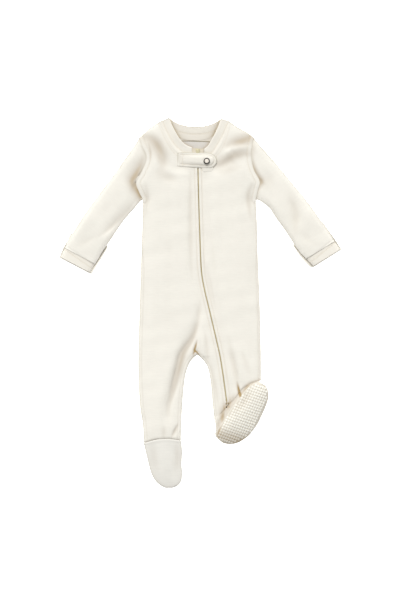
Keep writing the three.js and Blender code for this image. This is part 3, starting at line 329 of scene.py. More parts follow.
SLEEVE_FOLDS = (
    # Left sleeve: the valley beside the armhole, then the soft folds down to the wrist.
    Fold(((-88, 240), (-87.5, 226), (-92, 211), (-98.5, 198), (-104.5, 188), (-102.5, 179), (-98, 170),
          (-92, 156), (-86, 142)), 5.0, 7.5, -1.1, 1.5),
    Fold(((-102, 188), (-98.5, 180), (-95, 172), (-91.5, 163), (-87, 150)), 2.2, 3.0, -0.5, 1.3),
    Fold(((-95, 226), (-103, 206), (-112, 192), (-108, 178)), 8, 8, -0.3, 0.2),
    Fold(((-98, 246), (-104, 222), (-116, 194)), 7, 9, 0.6),
    Fold(((-94, 166), (-114, 140), (-136, 117), (-160, 98)), 4, 6, -1.2, 0.4),
    Fold(((-168, 140), (-184, 112), (-198, 88)), 7, 7, 0.8),
    Fold(((-160, 104), (-178, 92), (-196, 82)), 6, 6, -0.5, 0.1),
    # Right sleeve.
    Fold(((80.8, 231), (81.8, 218), (84.2, 208), (87.4, 200.5), (91.8, 193.5), (95.5, 187), (92.5, 180),
          (89.5, 172), (88, 158)), 4.0, 2.4, -0.9, 1.3),
    Fold(((92, 198), (99, 188), (95, 176)), 5, 5, -0.3, 0.25),
    Fold(((80.6, 226), (82.0, 214), (85.0, 204), (89, 196)), 2.4, 2.0, -0.3, 0.5),
    Fold(((85, 252), (83.0, 238), (82.4, 222)), 3.6, 3.0, -0.3, 0.6),
    Fold(((114, 198), (106, 188), (96, 172)), 9, 9, -0.6, 0.25),
    Fold(((94, 244), (100, 220), (114, 192)), 9, 7, 0.6),
    Fold(((134, 180), (146, 146), (148, 118), (142, 88)), 8, 9, -0.7, 0.3),
    Fold(((100, 170), (116, 148), (134, 128)), 6, 6, 0.5),
    Fold(((150, 166), (170, 138), (188, 110)), 8, 8, 0.7),
    Fold(((150, 110), (166, 98), (182, 86)), 6, 6, -0.5, 0.1),
)

FOOT_FOLDS = (
    Fold(((-74, -212), (-71, -238), (-64, -272)), 7, 10, -0.8, 0.25),
    Fold(((-56, -210), (-54, -242), (-52, -276)), 9, 9, 0.8),
    Fold(((-37, -214), (-35, -238), (-38, -266)), 6, 6, -0.8, 0.3),
    Fold(((-82, -220), (-78, -242), (-71, -264)), 4, 4, 0.5),
)

SOLE_FOLDS = (
    Fold(((81, -128), (74, -142), (67, -153), (59, -162), (48, -176)), 6, 5, -1.0, 0.6),
    Fold(((8, -192), (26, -202), (44, -210), (66, -212), (90, -202)), 13, 9, -0.6, 1.1),
    Fold(((36, -178), (27, -190), (24, -200), (30, -216)), 7, 7, -0.3, 0.7),
)


def crease(folds: Sequence[Fold], places: np.ndarray) -> tuple[np.ndarray, np.ndarray]:
    """Adds several folds together.

    Args:
        folds: The folds.
        places: One row for each place.

    Returns:
        The height and the shade at each place.
    """
    height, tone = np.zeros(len(places)), np.zeros(len(places))
    for fold in folds:
        share = fold.share(places)
        height += fold.rise * share
        tone += fold.tone * share
    return height, tone


def drape(places: np.ndarray, depth: float) -> np.ndarray:
    """Slow unevenness of relaxed cloth.

    Args:
        places: One row for each place.
        depth: The most that it rises or falls.

    Returns:
        The height that it adds at each place.
    """
    chance = np.random.default_rng(7)
    height = np.zeros(len(places))
    for wave in np.geomspace(70, 16, 9):
        turn, phase = chance.uniform(0, 2 * math.pi, 2)
        along = places[:, 0] * math.cos(turn) + places[:, 1] * math.sin(turn)
        height += np.sin(2 * math.pi * along / wave + phase) * (wave / 70) ** 0.7
    return depth * height / 4


def blur(grid: np.ndarray, reach: float) -> np.ndarray:
    """Smooths a grid in both directions.

    Args:
        grid: The grid.
        reach: How far a cell spreads, in cells.

    Returns:
        The smooth grid.
    """
    span = np.arange(-math.ceil(2.5 * reach), math.ceil(2.5 * reach) + 1)
    kernel = np.exp(-((span / reach) ** 2))
    kernel /= kernel.sum()
    for _ in range(2):
        grid = np.apply_along_axis(lambda row: np.convolve(row, kernel, mode="same"), 1, grid).T
    return grid


def bell(distance: np.ndarray, middle: float, wide: float) -> np.ndarray:
    """A smooth bump of height 1 at a distance, down to about a third where it is `wide` off."""
    return np.exp(-(((distance - middle) / wide) ** 2))


def rounded(room: np.ndarray, radius: float) -> np.ndarray:
    """Height of a rounded edge: 0 on the edge, and 1 from `radius` inwards."""
    return np.sqrt(1 - (1 - np.clip(room / radius, 0, 1)) ** 2)


def ease(value: np.ndarray, low: float, high: float) -> np.ndarray:
    """Goes smoothly from 0 at `low` to 1 at `high`."""
    share = np.clip((value - low) / (high - low), 0, 1)
    return share * share * (3 - 2 * share)


# ---- Shader maths ----


class Wire:
    """A shader value that Python's operators combine through Math nodes."""

    def __init__(self, recipe: "Recipe", socket: bpy.types.NodeSocket) -> None:
        """Keeps the socket and the recipe that its nodes go into."""
        self.recipe = recipe
        self.socket = socket

    def math(self, operation: str, *others: "Wire | float") -> "Wire":
        """Puts this value and others through one Math node.

        Args:
            operation: The node's operation.
            others: The node's further values.

        Returns:
            The result.
        """
        inputs = dict(enumerate((self, *others)))
        node = self.recipe.add("ShaderNodeMath", {"operation": operation}, inputs)
        return Wire(self.recipe, node.outputs[0])

    def __add__(self, other: "Wire | float") -> "Wire":
        """This value plus another."""
        return self.math("ADD", other)

    __radd__ = __add__

    def __mul__(self, other: "Wire | float") -> "Wire":
        """This value times another."""
        return self.math("MULTIPLY", other)

    __rmul__ = __mul__

    def __sub__(self, other: "Wire | float") -> "Wire":
        """This value less another."""
        return self.math("SUBTRACT", other)

    def __rsub__(self, other: float) -> "Wire":
        """A number less this value."""
        return self * -1.0 + other

    def __truediv__(self, other: "Wire | float") -> "Wire":
        """This value over another."""
        return self.math("DIVIDE", other)

    def __abs__(self) -> "Wire":
        """This value without its sign."""
        return self.math("ABSOLUTE")

    def wave(self) -> "Wire":
        """A cosine wave from 0 to 1 that repeats at each whole number, and is 1 there."""
        return (self * (2 * math.pi)).math("COSINE") * 0.5 + 0.5

    def groove(self, wide: float) -> "Wire":
        """A soft line of height 1 where this value is 0, that fades out over a width."""
        return (abs(self) * (-1 / wide)).math("EXPONENT")


class Recipe:
    """The node tree of one finish."""

    def __init__(self, name: str) -> None:
        """Makes an empty material.

        Args:
            name: Its name.
        """
        self.material = bpy.data.materials.new(name)
        self.material.use_nodes = True
        self.tree = self.material.node_tree
        self.tree.nodes.clear()

    def add(self, kind: str, settings: dict | None = None, inputs: dict | None = None) -> bpy.types.Node:
        """Makes a node.

        Args:
            kind: The node's type.
            settings: Its properties; `stops` gives a ramp's positions and colours.
            inputs: Values or wires for its sockets, by name or number.

        Returns:
            The node.
        """
        node = self.tree.nodes.new(kind)
        for key, value in (settings or {}).items():
            if key == "stops":
                for element, (place, color) in zip(node.color_ramp.elements, value):
                    element.position = place
                    element.color = color
            else:
                setattr(node, key, value)
        for key, value in (inputs or {}).items():
            if isinstance(value, Wire):
                self.tree.links.new(value.socket, node.inputs[key])
            else:
                node.inputs[key].default_value = value
        return node

    def wire(self, kind: str, settings: dict | None = None, inputs: dict | None = None,
             output: str | int = 0) -> Wire:
        """Makes a node, and returns one of its outputs as a wire."""
        return Wire(self, self.add(kind, settings, inputs).outputs[output])

    def mark(self, name: str) -> Wire:
        """Reads a value that is kept on the mesh."""
        return self.wire("ShaderNodeAttribute", {"attribute_name": name}, output="Fac")

    def painted_shade(self) -> Wire:
        """How much shade is painted on a place, by how deep it lies in a fold or beside a seam: 1 is soft
        shade, and 2 the darkest.
        """
        return self.mark("painted_shade")

    def lay(self) -> tuple[Wire, Wire, Wire]:
        """Reads the lay of the cloth.

        Returns:
            How far a place is across the cloth, along it, and from its nearest seam.
        """
        place = self.wire("ShaderNodeAttribute", {"attribute_name": "lay"}, output="Vector")
        split = self.add("ShaderNodeSeparateXYZ", inputs={0: place})
        return tuple(Wire(self, output) for output in split.outputs)

    def mottle(self, wave: float, detail: float = 2.0) -> Wire:
        """Slow noise, about 0.5, over the object.

        Args:
            wave: Its size.
            detail: How many finer layers it has.

        Returns:
            The noise.
        """
        place = self.wire("ShaderNodeTexCoord", output="Object")
        inputs = {"Vector": place, "Scale": 1 / (wave * MM), "Detail": detail}
        return self.wire("ShaderNodeTexNoise", inputs=inputs)

    def streaks(self, across: Wire, along: Wire, wide: float, long: float) -> Wire:
        """Noise, about 0.5, that is drawn out across the cloth.

        Args:
            across: How far a place is across the cloth.
            along: How far it is along it.
            wide: Length of a streak across.
            long: Its thickness.

        Returns:
            The noise.
        """
        place = self.wire("ShaderNodeCombineXYZ", inputs={0: across / wide, 1: along / long})
        return self.wire("ShaderNodeTexNoise", inputs={"Vector": place, "Scale": 1.0, "Detail": 3.0})

    def blend(self, share: Wire, low: "Wire | tuple", high: "Wire | tuple") -> Wire:
        """Mixes two colours."""
        node = self.add("ShaderNodeMix", {"data_type": "RGBA"}, {0: share, 6: low, 7: high})
        return Wire(self, node.outputs[2])

    def shade(self, fill: Wire, color: "Color", depth: Wire) -> Wire:
        """Lays the shade of folds and seams over a surface's colour.

        Args:
            fill: The surface's colour, with its variation.
            color: Its plain colour.
            depth: How deep each place lies.

        Returns:
            The colour in shade.
        """
        soft = self.blend(depth, fill, shaded(color, SOFT_SHADE))
        deep = self.blend(depth - 1.0, soft, shaded(color, DEEP_SHADE))
        return self.blend(self.mark("edge"), deep, shaded(color, EDGE_SHADE))

    def finish(self, surface: dict, height: Wire | None = None, depth: float = 0.1) -> bpy.types.Material:
        """Joins the tree to a Principled surface.

        Args:
            surface: Values and wires for the surface's sockets.
            height: Height of the fine relief, from 0 to 1.
            depth: What a height of 1 stands for.

        Returns:
            The material.
        """
        if height is not None:
            inputs = {"Height": height, "Strength": 1.0, "Distance": depth * MM}
            surface = {**surface, "Normal": self.wire("ShaderNodeBump", inputs=inputs)}
        shader = self.wire("ShaderNodeBsdfPrincipled", inputs=surface)
        self.add("ShaderNodeOutputMaterial", inputs={"Surface": shader})
        return self.material


Color = tuple[float, float, float]


def paint(color: Color, share: float = 1.0) -> tuple[float, float, float, float]:
    """A colour given in screen values from 0 to 255, as the shaders want it.

    Args:
        color: The colour.
        share: What its light is multiplied by.

    Returns:
        Red, green, blue and alpha.
    """
    def linear(value: float) -> float:
        """One channel without the screen's gamma."""
        level = value / 255
        return level / 12.92 if level <= 0.04045 else ((level + 0.055) / 1.055) ** 2.4

    return (*(min(linear(value) * share, 1.0) for value in color), 1.0)


# ---- Finishes ----


SOFT_SHADE = (0.785, 0.75, 0.715)  # what soft shade in a fold leaves of red, green and blue
DEEP_SHADE = (0.50, 0.37, 0.20)  # what the darkest shade leaves of them
EDGE_SHADE = (0.58, 0.565, 0.50)  # what is left of them along a free edge
SOFT_SURFACE = {"Specular IOR Level": 0.25, "Sheen Weight": 0.08, "Sheen Roughness": 0.5}


def shaded(color: Color, shade: tuple[float, float, float]) -> tuple[float, float, float, float]:
    """A screen colour in shade, as the shaders want it."""
    return (*(value * left for value, left in zip(paint(color), shade)), 1.0)


@dataclass(frozen=True)
class Finish:
    """What every finish has.

    Attributes:
        name: The finish's name.
        color: Its colour.
    """

    name: str
    color: Color

    def make(self) -> bpy.types.Material:
        """Makes the material."""
        raise NotImplementedError


@dataclass(frozen=True)
class Knit(Finish):
    """Fine interlock cotton, with upright wales and small loops.

    Attributes:
        wale: Distance between wales.
        course: Distance between rows of loops.
        relief: Depth of the loops.
        shade: How strongly shade is painted into its folds.
    """

    wale: float = 1.1
    course: float = 0.8
    relief: float = 0.14
    shade: float = 1.0

    def make(self) -> bpy.types.Material:
        """Makes the material.

        Returns:
            The material.
        """
        recipe = Recipe(self.name)
        across, along, seam = recipe.lay()
        column = across / self.wale
        slope = abs(column - column.math("ROUND"))
        loops = (along / self.course + slope * 0.9).wave()
        knit = column.wave() * 0.6 + loops * 0.4
        heather = recipe.streaks(across, along, 14.0, 1.5)
        cloud = recipe.mottle(16.0, 2.0)
        tone = (heather - 0.5) * 0.9 + (cloud - 0.5) * 0.4 + knit * 0.12 + 0.44
        light, dark = paint(self.color, 1.035), paint(self.color, 0.935)
        color = recipe.blend(tone, dark, light)
        groove = seam.groove(0.8)
        color = recipe.shade(color, self.color, recipe.painted_shade() * self.shade + groove * 0.4)
        surface = {**SOFT_SURFACE, "Base Color": color, "Roughness": heather * 0.1 + 0.86}
        return recipe.finish(surface, knit - groove * 1.5, self.relief)


@dataclass(frozen=True)
class Rib(Finish):
    """Fine rib, with plain ridges along the piece.

    Attributes:
        pitch: Distance between ribs.
        relief: Depth between ribs.
        shade: How strongly shade is painted into its folds.
    """

    pitch: float = 1.6
    relief: float = 0.22
    shade: float = 1.0

    def make(self) -> bpy.types.Material:
        """Makes the material.

        Returns:
            The material.
        """
        recipe = Recipe(self.name)
        across, along, seam = recipe.lay()
        ribs = (across / self.pitch).wave()
        loops = (along / 0.9 + ribs * 0.4).wave()
        knit = ribs * 0.8 + loops * 0.2
        heather = recipe.streaks(across, along, 1.6, 12.0)
        tone = (heather - 0.5) * 0.7 + ribs * 0.2 + 0.4
        color = recipe.blend(tone, paint(self.color, 0.93), paint(self.color, 1.035))
        groove = seam.groove(0.8)
        color = recipe.shade(color, self.color, recipe.painted_shade() * self.shade + groove * 0.4)
        surface = {**SOFT_SURFACE, "Base Color": color, "Roughness": heather * 0.08 + 0.88}
        return recipe.finish(surface, knit - groove, self.relief)


@dataclass(frozen=True)
class Weave(Finish):
    """Plain woven ribbon, as in zip tapes and labels.

    Attributes:
        pitch: Distance between threads.
        rough: Its roughness.
        sheen: How much it shines at a slant.
    """

    pitch: float = 0.5
    rough: float = 0.8
    sheen: float = 0.1

    def make(self) -> bpy.types.Material:
        """Makes the material.

        Returns:
            The material.
        """
        recipe = Recipe(self.name)
        across, along, _ = recipe.lay()
        threads = (across / self.pitch).wave() * (along / self.pitch).wave()
        streak = recipe.mottle(5.0)
        color = recipe.blend(threads * 0.5 + streak * 0.4, paint(self.color, 0.9), paint(self.color, 1.02))
        color = recipe.shade(color, self.color, recipe.painted_shade())
        surface = {
            "Base Color": color,
            "Roughness": threads * 0.1 + self.rough,
            "Sheen Weight": self.sheen,
            "Specular IOR Level": 0.3,
        }
        return recipe.finish(surface, threads, 0.1)


@dataclass(frozen=True)
class Moulded(Finish):
    """Smooth plastic, enamel or thread with faint unevenness.

    Attributes:
        rough: Its roughness.
        metal: How metallic it is.
        grain: Size of its unevenness.
        wear: How much its colour varies.
    """

    rough: float = 0.6
    metal: float = 0.0
    grain: float = 1.5
    wear: float = 0.1

    def make(self) -> bpy.types.Material:
        """Makes the material.

        Returns:
            The material.
        """
        recipe = Recipe(self.name)
        speck = recipe.mottle(self.grain, 3.0)
        color = recipe.blend(speck, paint(self.color, 1 - self.wear), paint(self.color, 1 + self.wear))
        color = recipe.shade(color, self.color, recipe.painted_shade())
        surface = {
            "Base Color": color,
            "Roughness": speck * 0.12 + (self.rough - 0.06),
            "Metallic": self.metal,
        }
        return recipe.finish(surface, speck, 0.03)


class Slot(Enum):
    """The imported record's material slots."""

    COTTON = "cotton"
    RIB = "rib"
    SOLE = "sole_knit"
    TAPE = "tape"
    COIL = "coil"
    LABEL = "label"
    SLIDER = "slider"
    SNAP = "snap_metal"


FINISHES = {
    Slot.COTTON: Knit("cotton_interlock", (240, 237, 228)),
    Slot.RIB: Rib("cotton_rib", (240, 236, 226), shade=0.8),
    Slot.SOLE: Knit("sole_interlock", (230, 226, 215), relief=0.2),
    Slot.TAPE: Weave("zip_tape", (243, 236, 218)),
    Slot.COIL: Moulded("nylon_coil", (214, 198, 146), 0.5, grain=0.8),
    Slot.LABEL: Weave("label_satin", (240, 238, 233), pitch=0.3, rough=0.45, sheen=0.3),
    Slot.SLIDER: Moulded("slider_enamel", (204, 196, 162), 0.45, metal=0.1, grain=2.0),
    Slot.SNAP: Moulded("snap_ring_metal", (40, 37, 33), 0.5, metal=0.4, grain=0.8, wear=0.2),
}
# The body's cotton, painted greyer for the shade on the left foot.
SHADED_FOOT = Knit("foot_interlock_shaded", (231, 229, 222))
THREAD = Moulded("sewing_thread", (238, 232, 218), 0.8, grain=0.5, wear=0.05)
# A dark thread that paints the shadow along the back neck's seam.
SEAM_SHADOW_THREAD = Moulded("neck_seam_shadow_thread", (150, 138, 108), 0.85, grain=0.6, wear=0.1)
STOP = Moulded("zip_stop_enamel", (158, 138, 98), 0.55, grain=0.8)
GRIP = Moulded("grip_rubber", (240, 238, 229), 0.7, grain=0.6, wear=0.04)
# Thread of the bartacks at the zip's end, painted darker for the shade it lies in.
SHADED_LOCK_THREAD = Moulded("zip_end_thread_shaded", (160, 140, 104), 0.85, grain=0.5)
# Near-black thread that paints the shadowed dark spot at the zip's end.
ZIP_END_SHADOW_THREAD = Moulded("zip_end_shadow_thread", (74, 56, 34), 0.85, grain=0.5)


class Palette:
    """Makes each finish once."""

    def __init__(self) -> None:
        """Starts with nothing made."""
        self.made: dict[str, bpy.types.Material] = {}

    def get(self, finish: Slot | Finish) -> bpy.types.Material:
        """Gives the material of a finish, or of a slot's finish.

        Args:
            finish: The finish, or the slot.

        Returns:
            The material.
        """
        kind = FINISHES[finish] if isinstance(finish, Slot) else finish
        if kind.name not in self.made:
            self.made[kind.name] = kind.make()
        return self.made[kind.name]


PALETTE = Palette()
CLOTHS: list["Cloth"] = []


# ---- Cloth ----


class Skin(Enum):
    """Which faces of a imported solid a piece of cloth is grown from."""

    TOP = "top"
    AROUND = "around"
    WHOLE = "whole"


class Held(Enum):
    """How a sheet is held."""

    LAID = "laid"
    FOLDED = "folded"


def new_object(name: str, data: bpy.types.ID) -> bpy.types.Object:
    """Puts a mesh, camera or light into the scene, at the origin.

    Args:
        name: The object's name.
        data: What it holds.

    Returns:
        The object.
    """
    made = bpy.data.objects.new(name, data)
    bpy.context.scene.collection.objects.link(made)
    return made


def select_only(piece: bpy.types.Object) -> None:
    """Makes one object the only selected and the active one.

    Args:
        piece: The object.
    """
    bpy.ops.object.select_all(action="DESELECT")
    piece.select_set(True)
    bpy.context.view_layer.objects.active = piece


def smooth(piece: bpy.types.Object, degrees: float) -> None:
    """Shades a piece smooth, apart from edges that are sharper than an angle."""
    select_only(piece)
    bpy.ops.object.shade_smooth_by_angle(angle=math.radians(degrees))


def add_modifier(piece: bpy.types.Object, kind: str, **settings: object) -> None:
    """Puts a modifier on a piece and applies it.

    Args:
        piece: The piece.
        kind: The modifier's type.
        settings: Its properties.
    """
    select_only(piece)
    modifier = piece.modifiers.new(kind.lower(), kind)
    for key, value in settings.items():
        setattr(modifier, key, value)
    bpy.ops.object.modifier_apply(modifier=modifier.name)


def read_all(items: bpy.types.bpy_prop_collection, key: str, kind: type = float,
             wide: int = 1) -> np.ndarray:
    """Reads one property of all of a mesh's corners or edges.

    Args:
        items: The corners or edges.
        key: The property.
        kind: Type of its numbers.
        wide: How many numbers it has.

    Returns:
        One number or row for each of them.
    """
    out = np.empty(len(items) * wide, kind)
    items.foreach_get(key, out)
    return out.reshape(-1, wide) if wide > 1 else out


def corners_of(mesh: bpy.types.Mesh) -> np.ndarray:
    """The places of a mesh's corners, one row for each."""
    return read_all(mesh.vertices, "co", wide=3)


def plan_tree(points: np.ndarray, chosen: Sequence[int] | None = None) -> KDTree:
    """A search tree of points in plan.

    Args:
        points: One row for each point, of which x and y are read.
        chosen: Numbers of the points that it holds, or None for all.

    Returns:
        The tree, whose finds give the points' numbers.
    """
    numbers = range(len(points)) if chosen is None else chosen
    tree = KDTree(len(numbers))
    for index in numbers:
        x, y, _ = points[index]
        tree.insert((x, y, 0), int(index))
    tree.balance()
    return tree


@dataclass
class Cloth:
    """A thin sheet of cloth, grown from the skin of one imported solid.

    Attributes:
        node: The solid that it replaces.
        slot: Its finish.
        skin: The skin that it is grown from.
        wall: Its thickness.
        levels: How many times the skin is subdivided.
        finish: A finish other than its slot's.
        piece: The object in the scene.
        points: Its points, one row for each.
        rim: Numbers of the points on its rim.
        shade: Shade of its folds, for what lies on it.
    """

    node: str
    slot: Slot
    skin: Skin = Skin.TOP
    wall: float = 1.0
    levels: int = 3
    finish: Finish | None = None
    piece: bpy.types.Object = field(init=False)
    points: np.ndarray = field(init=False)
    rim: np.ndarray = field(init=False)
    shade: np.ndarray = field(init=False)

    def __post_init__(self) -> None:
        """Grows the fine sheet."""
        self.piece = new_object(f"cloth_{self.node}", self._skin())
        self._subdivide()
        self.read()

    def _subdivide(self) -> None:
        """Subdivides the skin, with its corners moved first so that the smooth sheet meets the solid's."""
        mesh = self.piece.data
        aim = corners_of(mesh)
        settings = {
            "levels": self.levels, "render_levels": self.levels, "boundary_smooth": "PRESERVE_CORNERS",
        }
        modifier = self.piece.modifiers.new("smooth", "SUBSURF")
        for key, value in settings.items():
            setattr(modifier, key, value)
        moved = aim.copy()
        for _ in range(3):
            graph = bpy.context.evaluated_depsgraph_get()
            graph.update()
            even = corners_of(self.piece.evaluated_get(graph).data)[: len(aim)]
            moved += aim - even
            mesh.vertices.foreach_set("co", moved.ravel())
            mesh.update()
        self.piece.modifiers.clear()
        add_modifier(self.piece, "SUBSURF", **settings)

    def _skin(self) -> bpy.types.Mesh:
        """Copies the chosen faces of the solid, as quads where they pair up.

        Returns:
            The coarse sheet.
        """
        bm = bmesh.new()
        bm.from_mesh(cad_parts[self.node].data)
        bmesh.ops.remove_doubles(bm, verts=bm.verts[:], dist=0.02 * MM)
        bm.normal_update()
        if self.skin is Skin.TOP:
            drop = [face for face in bm.faces if face.normal.z < 0.3]
        elif self.skin is Skin.AROUND:
            tree = BVHTree.FromBMesh(bm)
            outer = set()
            for face in bm.faces:
                way = Vector((0, 0, math.copysign(1, face.normal.z)))
                start = face.calc_center_median() + way * 0.01 * MM
                broad = face.calc_area() > 10 * MM * MM and abs(face.normal.z) > 0.3
                if broad and tree.ray_cast(start, way)[0] is None:
                    outer.update(face.verts)
            drop = [face for face in bm.faces if not all(vert in outer for vert in face.verts)]
        else:
            drop = []
        bmesh.ops.delete(bm, geom=drop, context="FACES")
        bmesh.ops.join_triangles(
            bm, faces=bm.faces[:], angle_face_threshold=math.radians(70),
            angle_shape_threshold=math.radians(70),
        )
        crease = bm.verts.layers.float.new("crease_vert")
        for vert in bm.verts:
            edges = [edge for edge in vert.link_edges if edge.is_boundary]
            if len(edges) == 2:
                arms = [edge.other_vert(vert).co - vert.co for edge in edges]
                if arms[0].angle(arms[1]) < math.radians(135):
                    vert[crease] = 1.0
        mesh = bpy.data.meshes.new(f"cloth_{self.node}")
        bm.to_mesh(mesh)
        bm.free()
        return mesh

    def read(self) -> None:
        """Notes the sheet's points and the numbers of those on its rim."""
        mesh = self.piece.data
        self.points = corners_of(mesh) / MM
        self.points[:, 2] = np.maximum(self.points[:, 2], 0.0)
        edge_of = read_all(mesh.loops, "edge_index", int)
        single = np.flatnonzero(np.bincount(edge_of, minlength=len(mesh.edges)) == 1)
        self.rim = np.unique(read_all(mesh.edges, "vertices", int, 2)[single])

    def normals(self) -> np.ndarray:
        """The sheet's normals, one row for each point."""
        return read_all(self.piece.data.vertices, "normal", wide=3)

    def rim_clear_of(self, *courses: Course, reach: float = 2.5) -> np.ndarray:
        """Finds the rim's points that lie clear of some lines.

        Args:
            courses: The lines.
            reach: How far the points keep from them.

        Returns:
            The points' numbers.
        """
        places = self.points[self.rim]
        clear = np.ones(len(places), bool)
        for course in courses:
            clear &= course.gap(places) > reach
        return self.rim[clear]

    def from_rim(self, chosen: np.ndarray) -> tuple[np.ndarray, np.ndarray]:
        """Distance in plan to the nearest of some points, for each of the sheet's points.

        Args:
            chosen: Numbers of those points.

        Returns:
            The distances, and the number of each nearest one.
        """
        if len(chosen) == 0:
            return np.full(len(self.points), 1e3), np.zeros(len(self.points), int)
        tree = plan_tree(self.points, chosen)
        found = [tree.find((x, y, 0)) for x, y, _ in self.points]
        return np.array([hit[2] for hit in found]), np.array([hit[1] for hit in found])

    def roll_edges(self, chosen: np.ndarray, low: float, radius: float = 3.0) -> None:
        """Rounds the sheet down to a height beside some rim points.

        Args:
            chosen: Numbers of the rim points.
            low: The height.
            radius: How far it reaches.
        """
        room, _ = self.from_rim(chosen)
        near = room < radius
        self.points[near, 2] = low + (self.points[near, 2] - low) * rounded(room, radius)[near]

    def draw_in(self, chosen: np.ndarray, amount: float, reach: float = 7.0) -> None:
        """Moves the rim's chosen points into the sheet, and its neighbours less.

        Args:
            chosen: Numbers of the points.
            amount: How far they move.
            reach: How far from them points still move.
        """
        middle = self.points[:, :2].copy()
        inward = np.zeros_like(middle)
        mesh = self.piece.data
        on_rim = np.zeros(len(middle), bool)
        on_rim[self.rim] = True
        for face in mesh.polygons:
            corners = list(face.vertices)
            if on_rim[corners].any():
                centre = middle[corners].mean(axis=0)
                for corner in corners:
                    if on_rim[corner]:
                        inward[corner] += centre - middle[corner]
        inward /= np.maximum(np.linalg.norm(inward, axis=1), 1e-9)[:, None]
        room, nearest = self.from_rim(chosen)
        share = np.clip(1 - room / reach, 0, 1)[:, None]
        self.points[:, :2] += amount * share * inward[nearest]

    def tuck_under(self, seam: Course, past: float, drop: float, taking: np.ndarray | float = 1.0) -> None:
        """Carries the edge along a seam on under the next piece.

        Args:
            seam: The seam.
            past: How far the edge moves to the seam's left, or to its right if negative.
            drop: How far it goes down.
            taking: How much each point takes part, from 0 to 1.
        """
        side, along = seam.locate(self.points)
        share = (1 - ease(np.abs(side), 0, 4.5)) * taking
        self.points[:, :2] += past * share[:, None] * seam.leftward(along)
        self.points[:, 2] -= drop * bell(side, 0.0, 1.6) * taking

    def raise_by(self, height: np.ndarray, floor: float | np.ndarray = -math.inf) -> None:
        """Adds height to each point, softly held above a floor.

        Args:
            height: The heights.
            floor: Level that the sheet stays above.
        """
        level = self.points[:, 2] + height
        floor = np.broadcast_to(floor, level.shape)
        over = level - floor
        margin = 1.2
        soft = 0.5 * margin * (1 + np.exp(np.minimum(over - margin, 0) / (0.5 * margin)))
        held = np.isfinite(over)
        level[held] = (floor[held] + np.where(over > margin, over, soft)[held])
        self.points[:, 2] = level

    def soften(self, centre: tuple[float, float], reach: float, turns: int) -> None:
        """Evens out the heights round a place, each point with its neighbours, apart from the rim's.

        Args:
            centre: The place.
            reach: How far from it the heights change.
            turns: How many times each point is evened out.
        """
        ends = read_all(self.piece.data.edges, "vertices", int, 2)
        one, other = ends.T
        count = np.bincount(ends.ravel(), minlength=len(self.points))
        share = 1 - ease(np.hypot(*(self.points[:, :2] - centre).T), reach / 2, reach)
        share[self.rim] = 0
        for _ in range(turns):
            height = self.points[:, 2]
            total = np.bincount(one, height[other], len(height))
            total += np.bincount(other, height[one], len(height))
            self.points[:, 2] += share * (total / count - height)

    def close(self, across: np.ndarray, along: np.ndarray, seam: np.ndarray | None = None,
              tone: np.ndarray | float = 0.0, edge: np.ndarray | float = 0.0) -> None:
        """Writes the points and the lay of the cloth, and gives the sheet its thickness.

        Args:
            across: How far each point is across the wales.
            along: How far each is along them.
            seam: How far each is from its nearest seam.
            tone: How much shade lies on each.
            edge: How much of an edge's shade lies on each.
        """
        mesh = self.piece.data
        mesh.vertices.foreach_set("co", (self.points * MM).ravel())
        apart = np.full(len(self.points), 20.0) if seam is None else seam
        lay = mesh.attributes.new("lay", "FLOAT_VECTOR", "POINT")
        lay.data.foreach_set("vector", np.column_stack([across, along, apart]).ravel())
        for name, value in (("painted_shade", tone), ("edge", edge)):
            mark = mesh.attributes.new(name, "FLOAT", "POINT")
            mark.data.foreach_set("value", np.broadcast_to(value, len(apart)).astype(np.float32))
        mesh.update()
        if self.skin is not Skin.WHOLE:
            add_modifier(self.piece, "SOLIDIFY", thickness=self.wall * MM, offset=-1.0, use_rim=True)
        smooth(self.piece, 50)
        mesh.attributes.remove(mesh.attributes["crease_vert"])

    def hand_over(self) -> None:
        """Dresses the sheet.
        """
        self.dress()

    def dress(self) -> None:
        """Gives the sheet its finish, and makes it part of the garment."""
        dress(self.piece, self.slot, self.finish, replaces=[self.node])
        CLOTHS.append(self)

    def tree(self) -> BVHTree:
        """Makes a search tree of the finished piece, in millimetres.

        Returns:
            The tree.
        """
        mesh = self.piece.data
        return BVHTree.FromPolygons(
            [vert.co / MM for vert in mesh.vertices], [tuple(face.vertices) for face in mesh.polygons]
        )


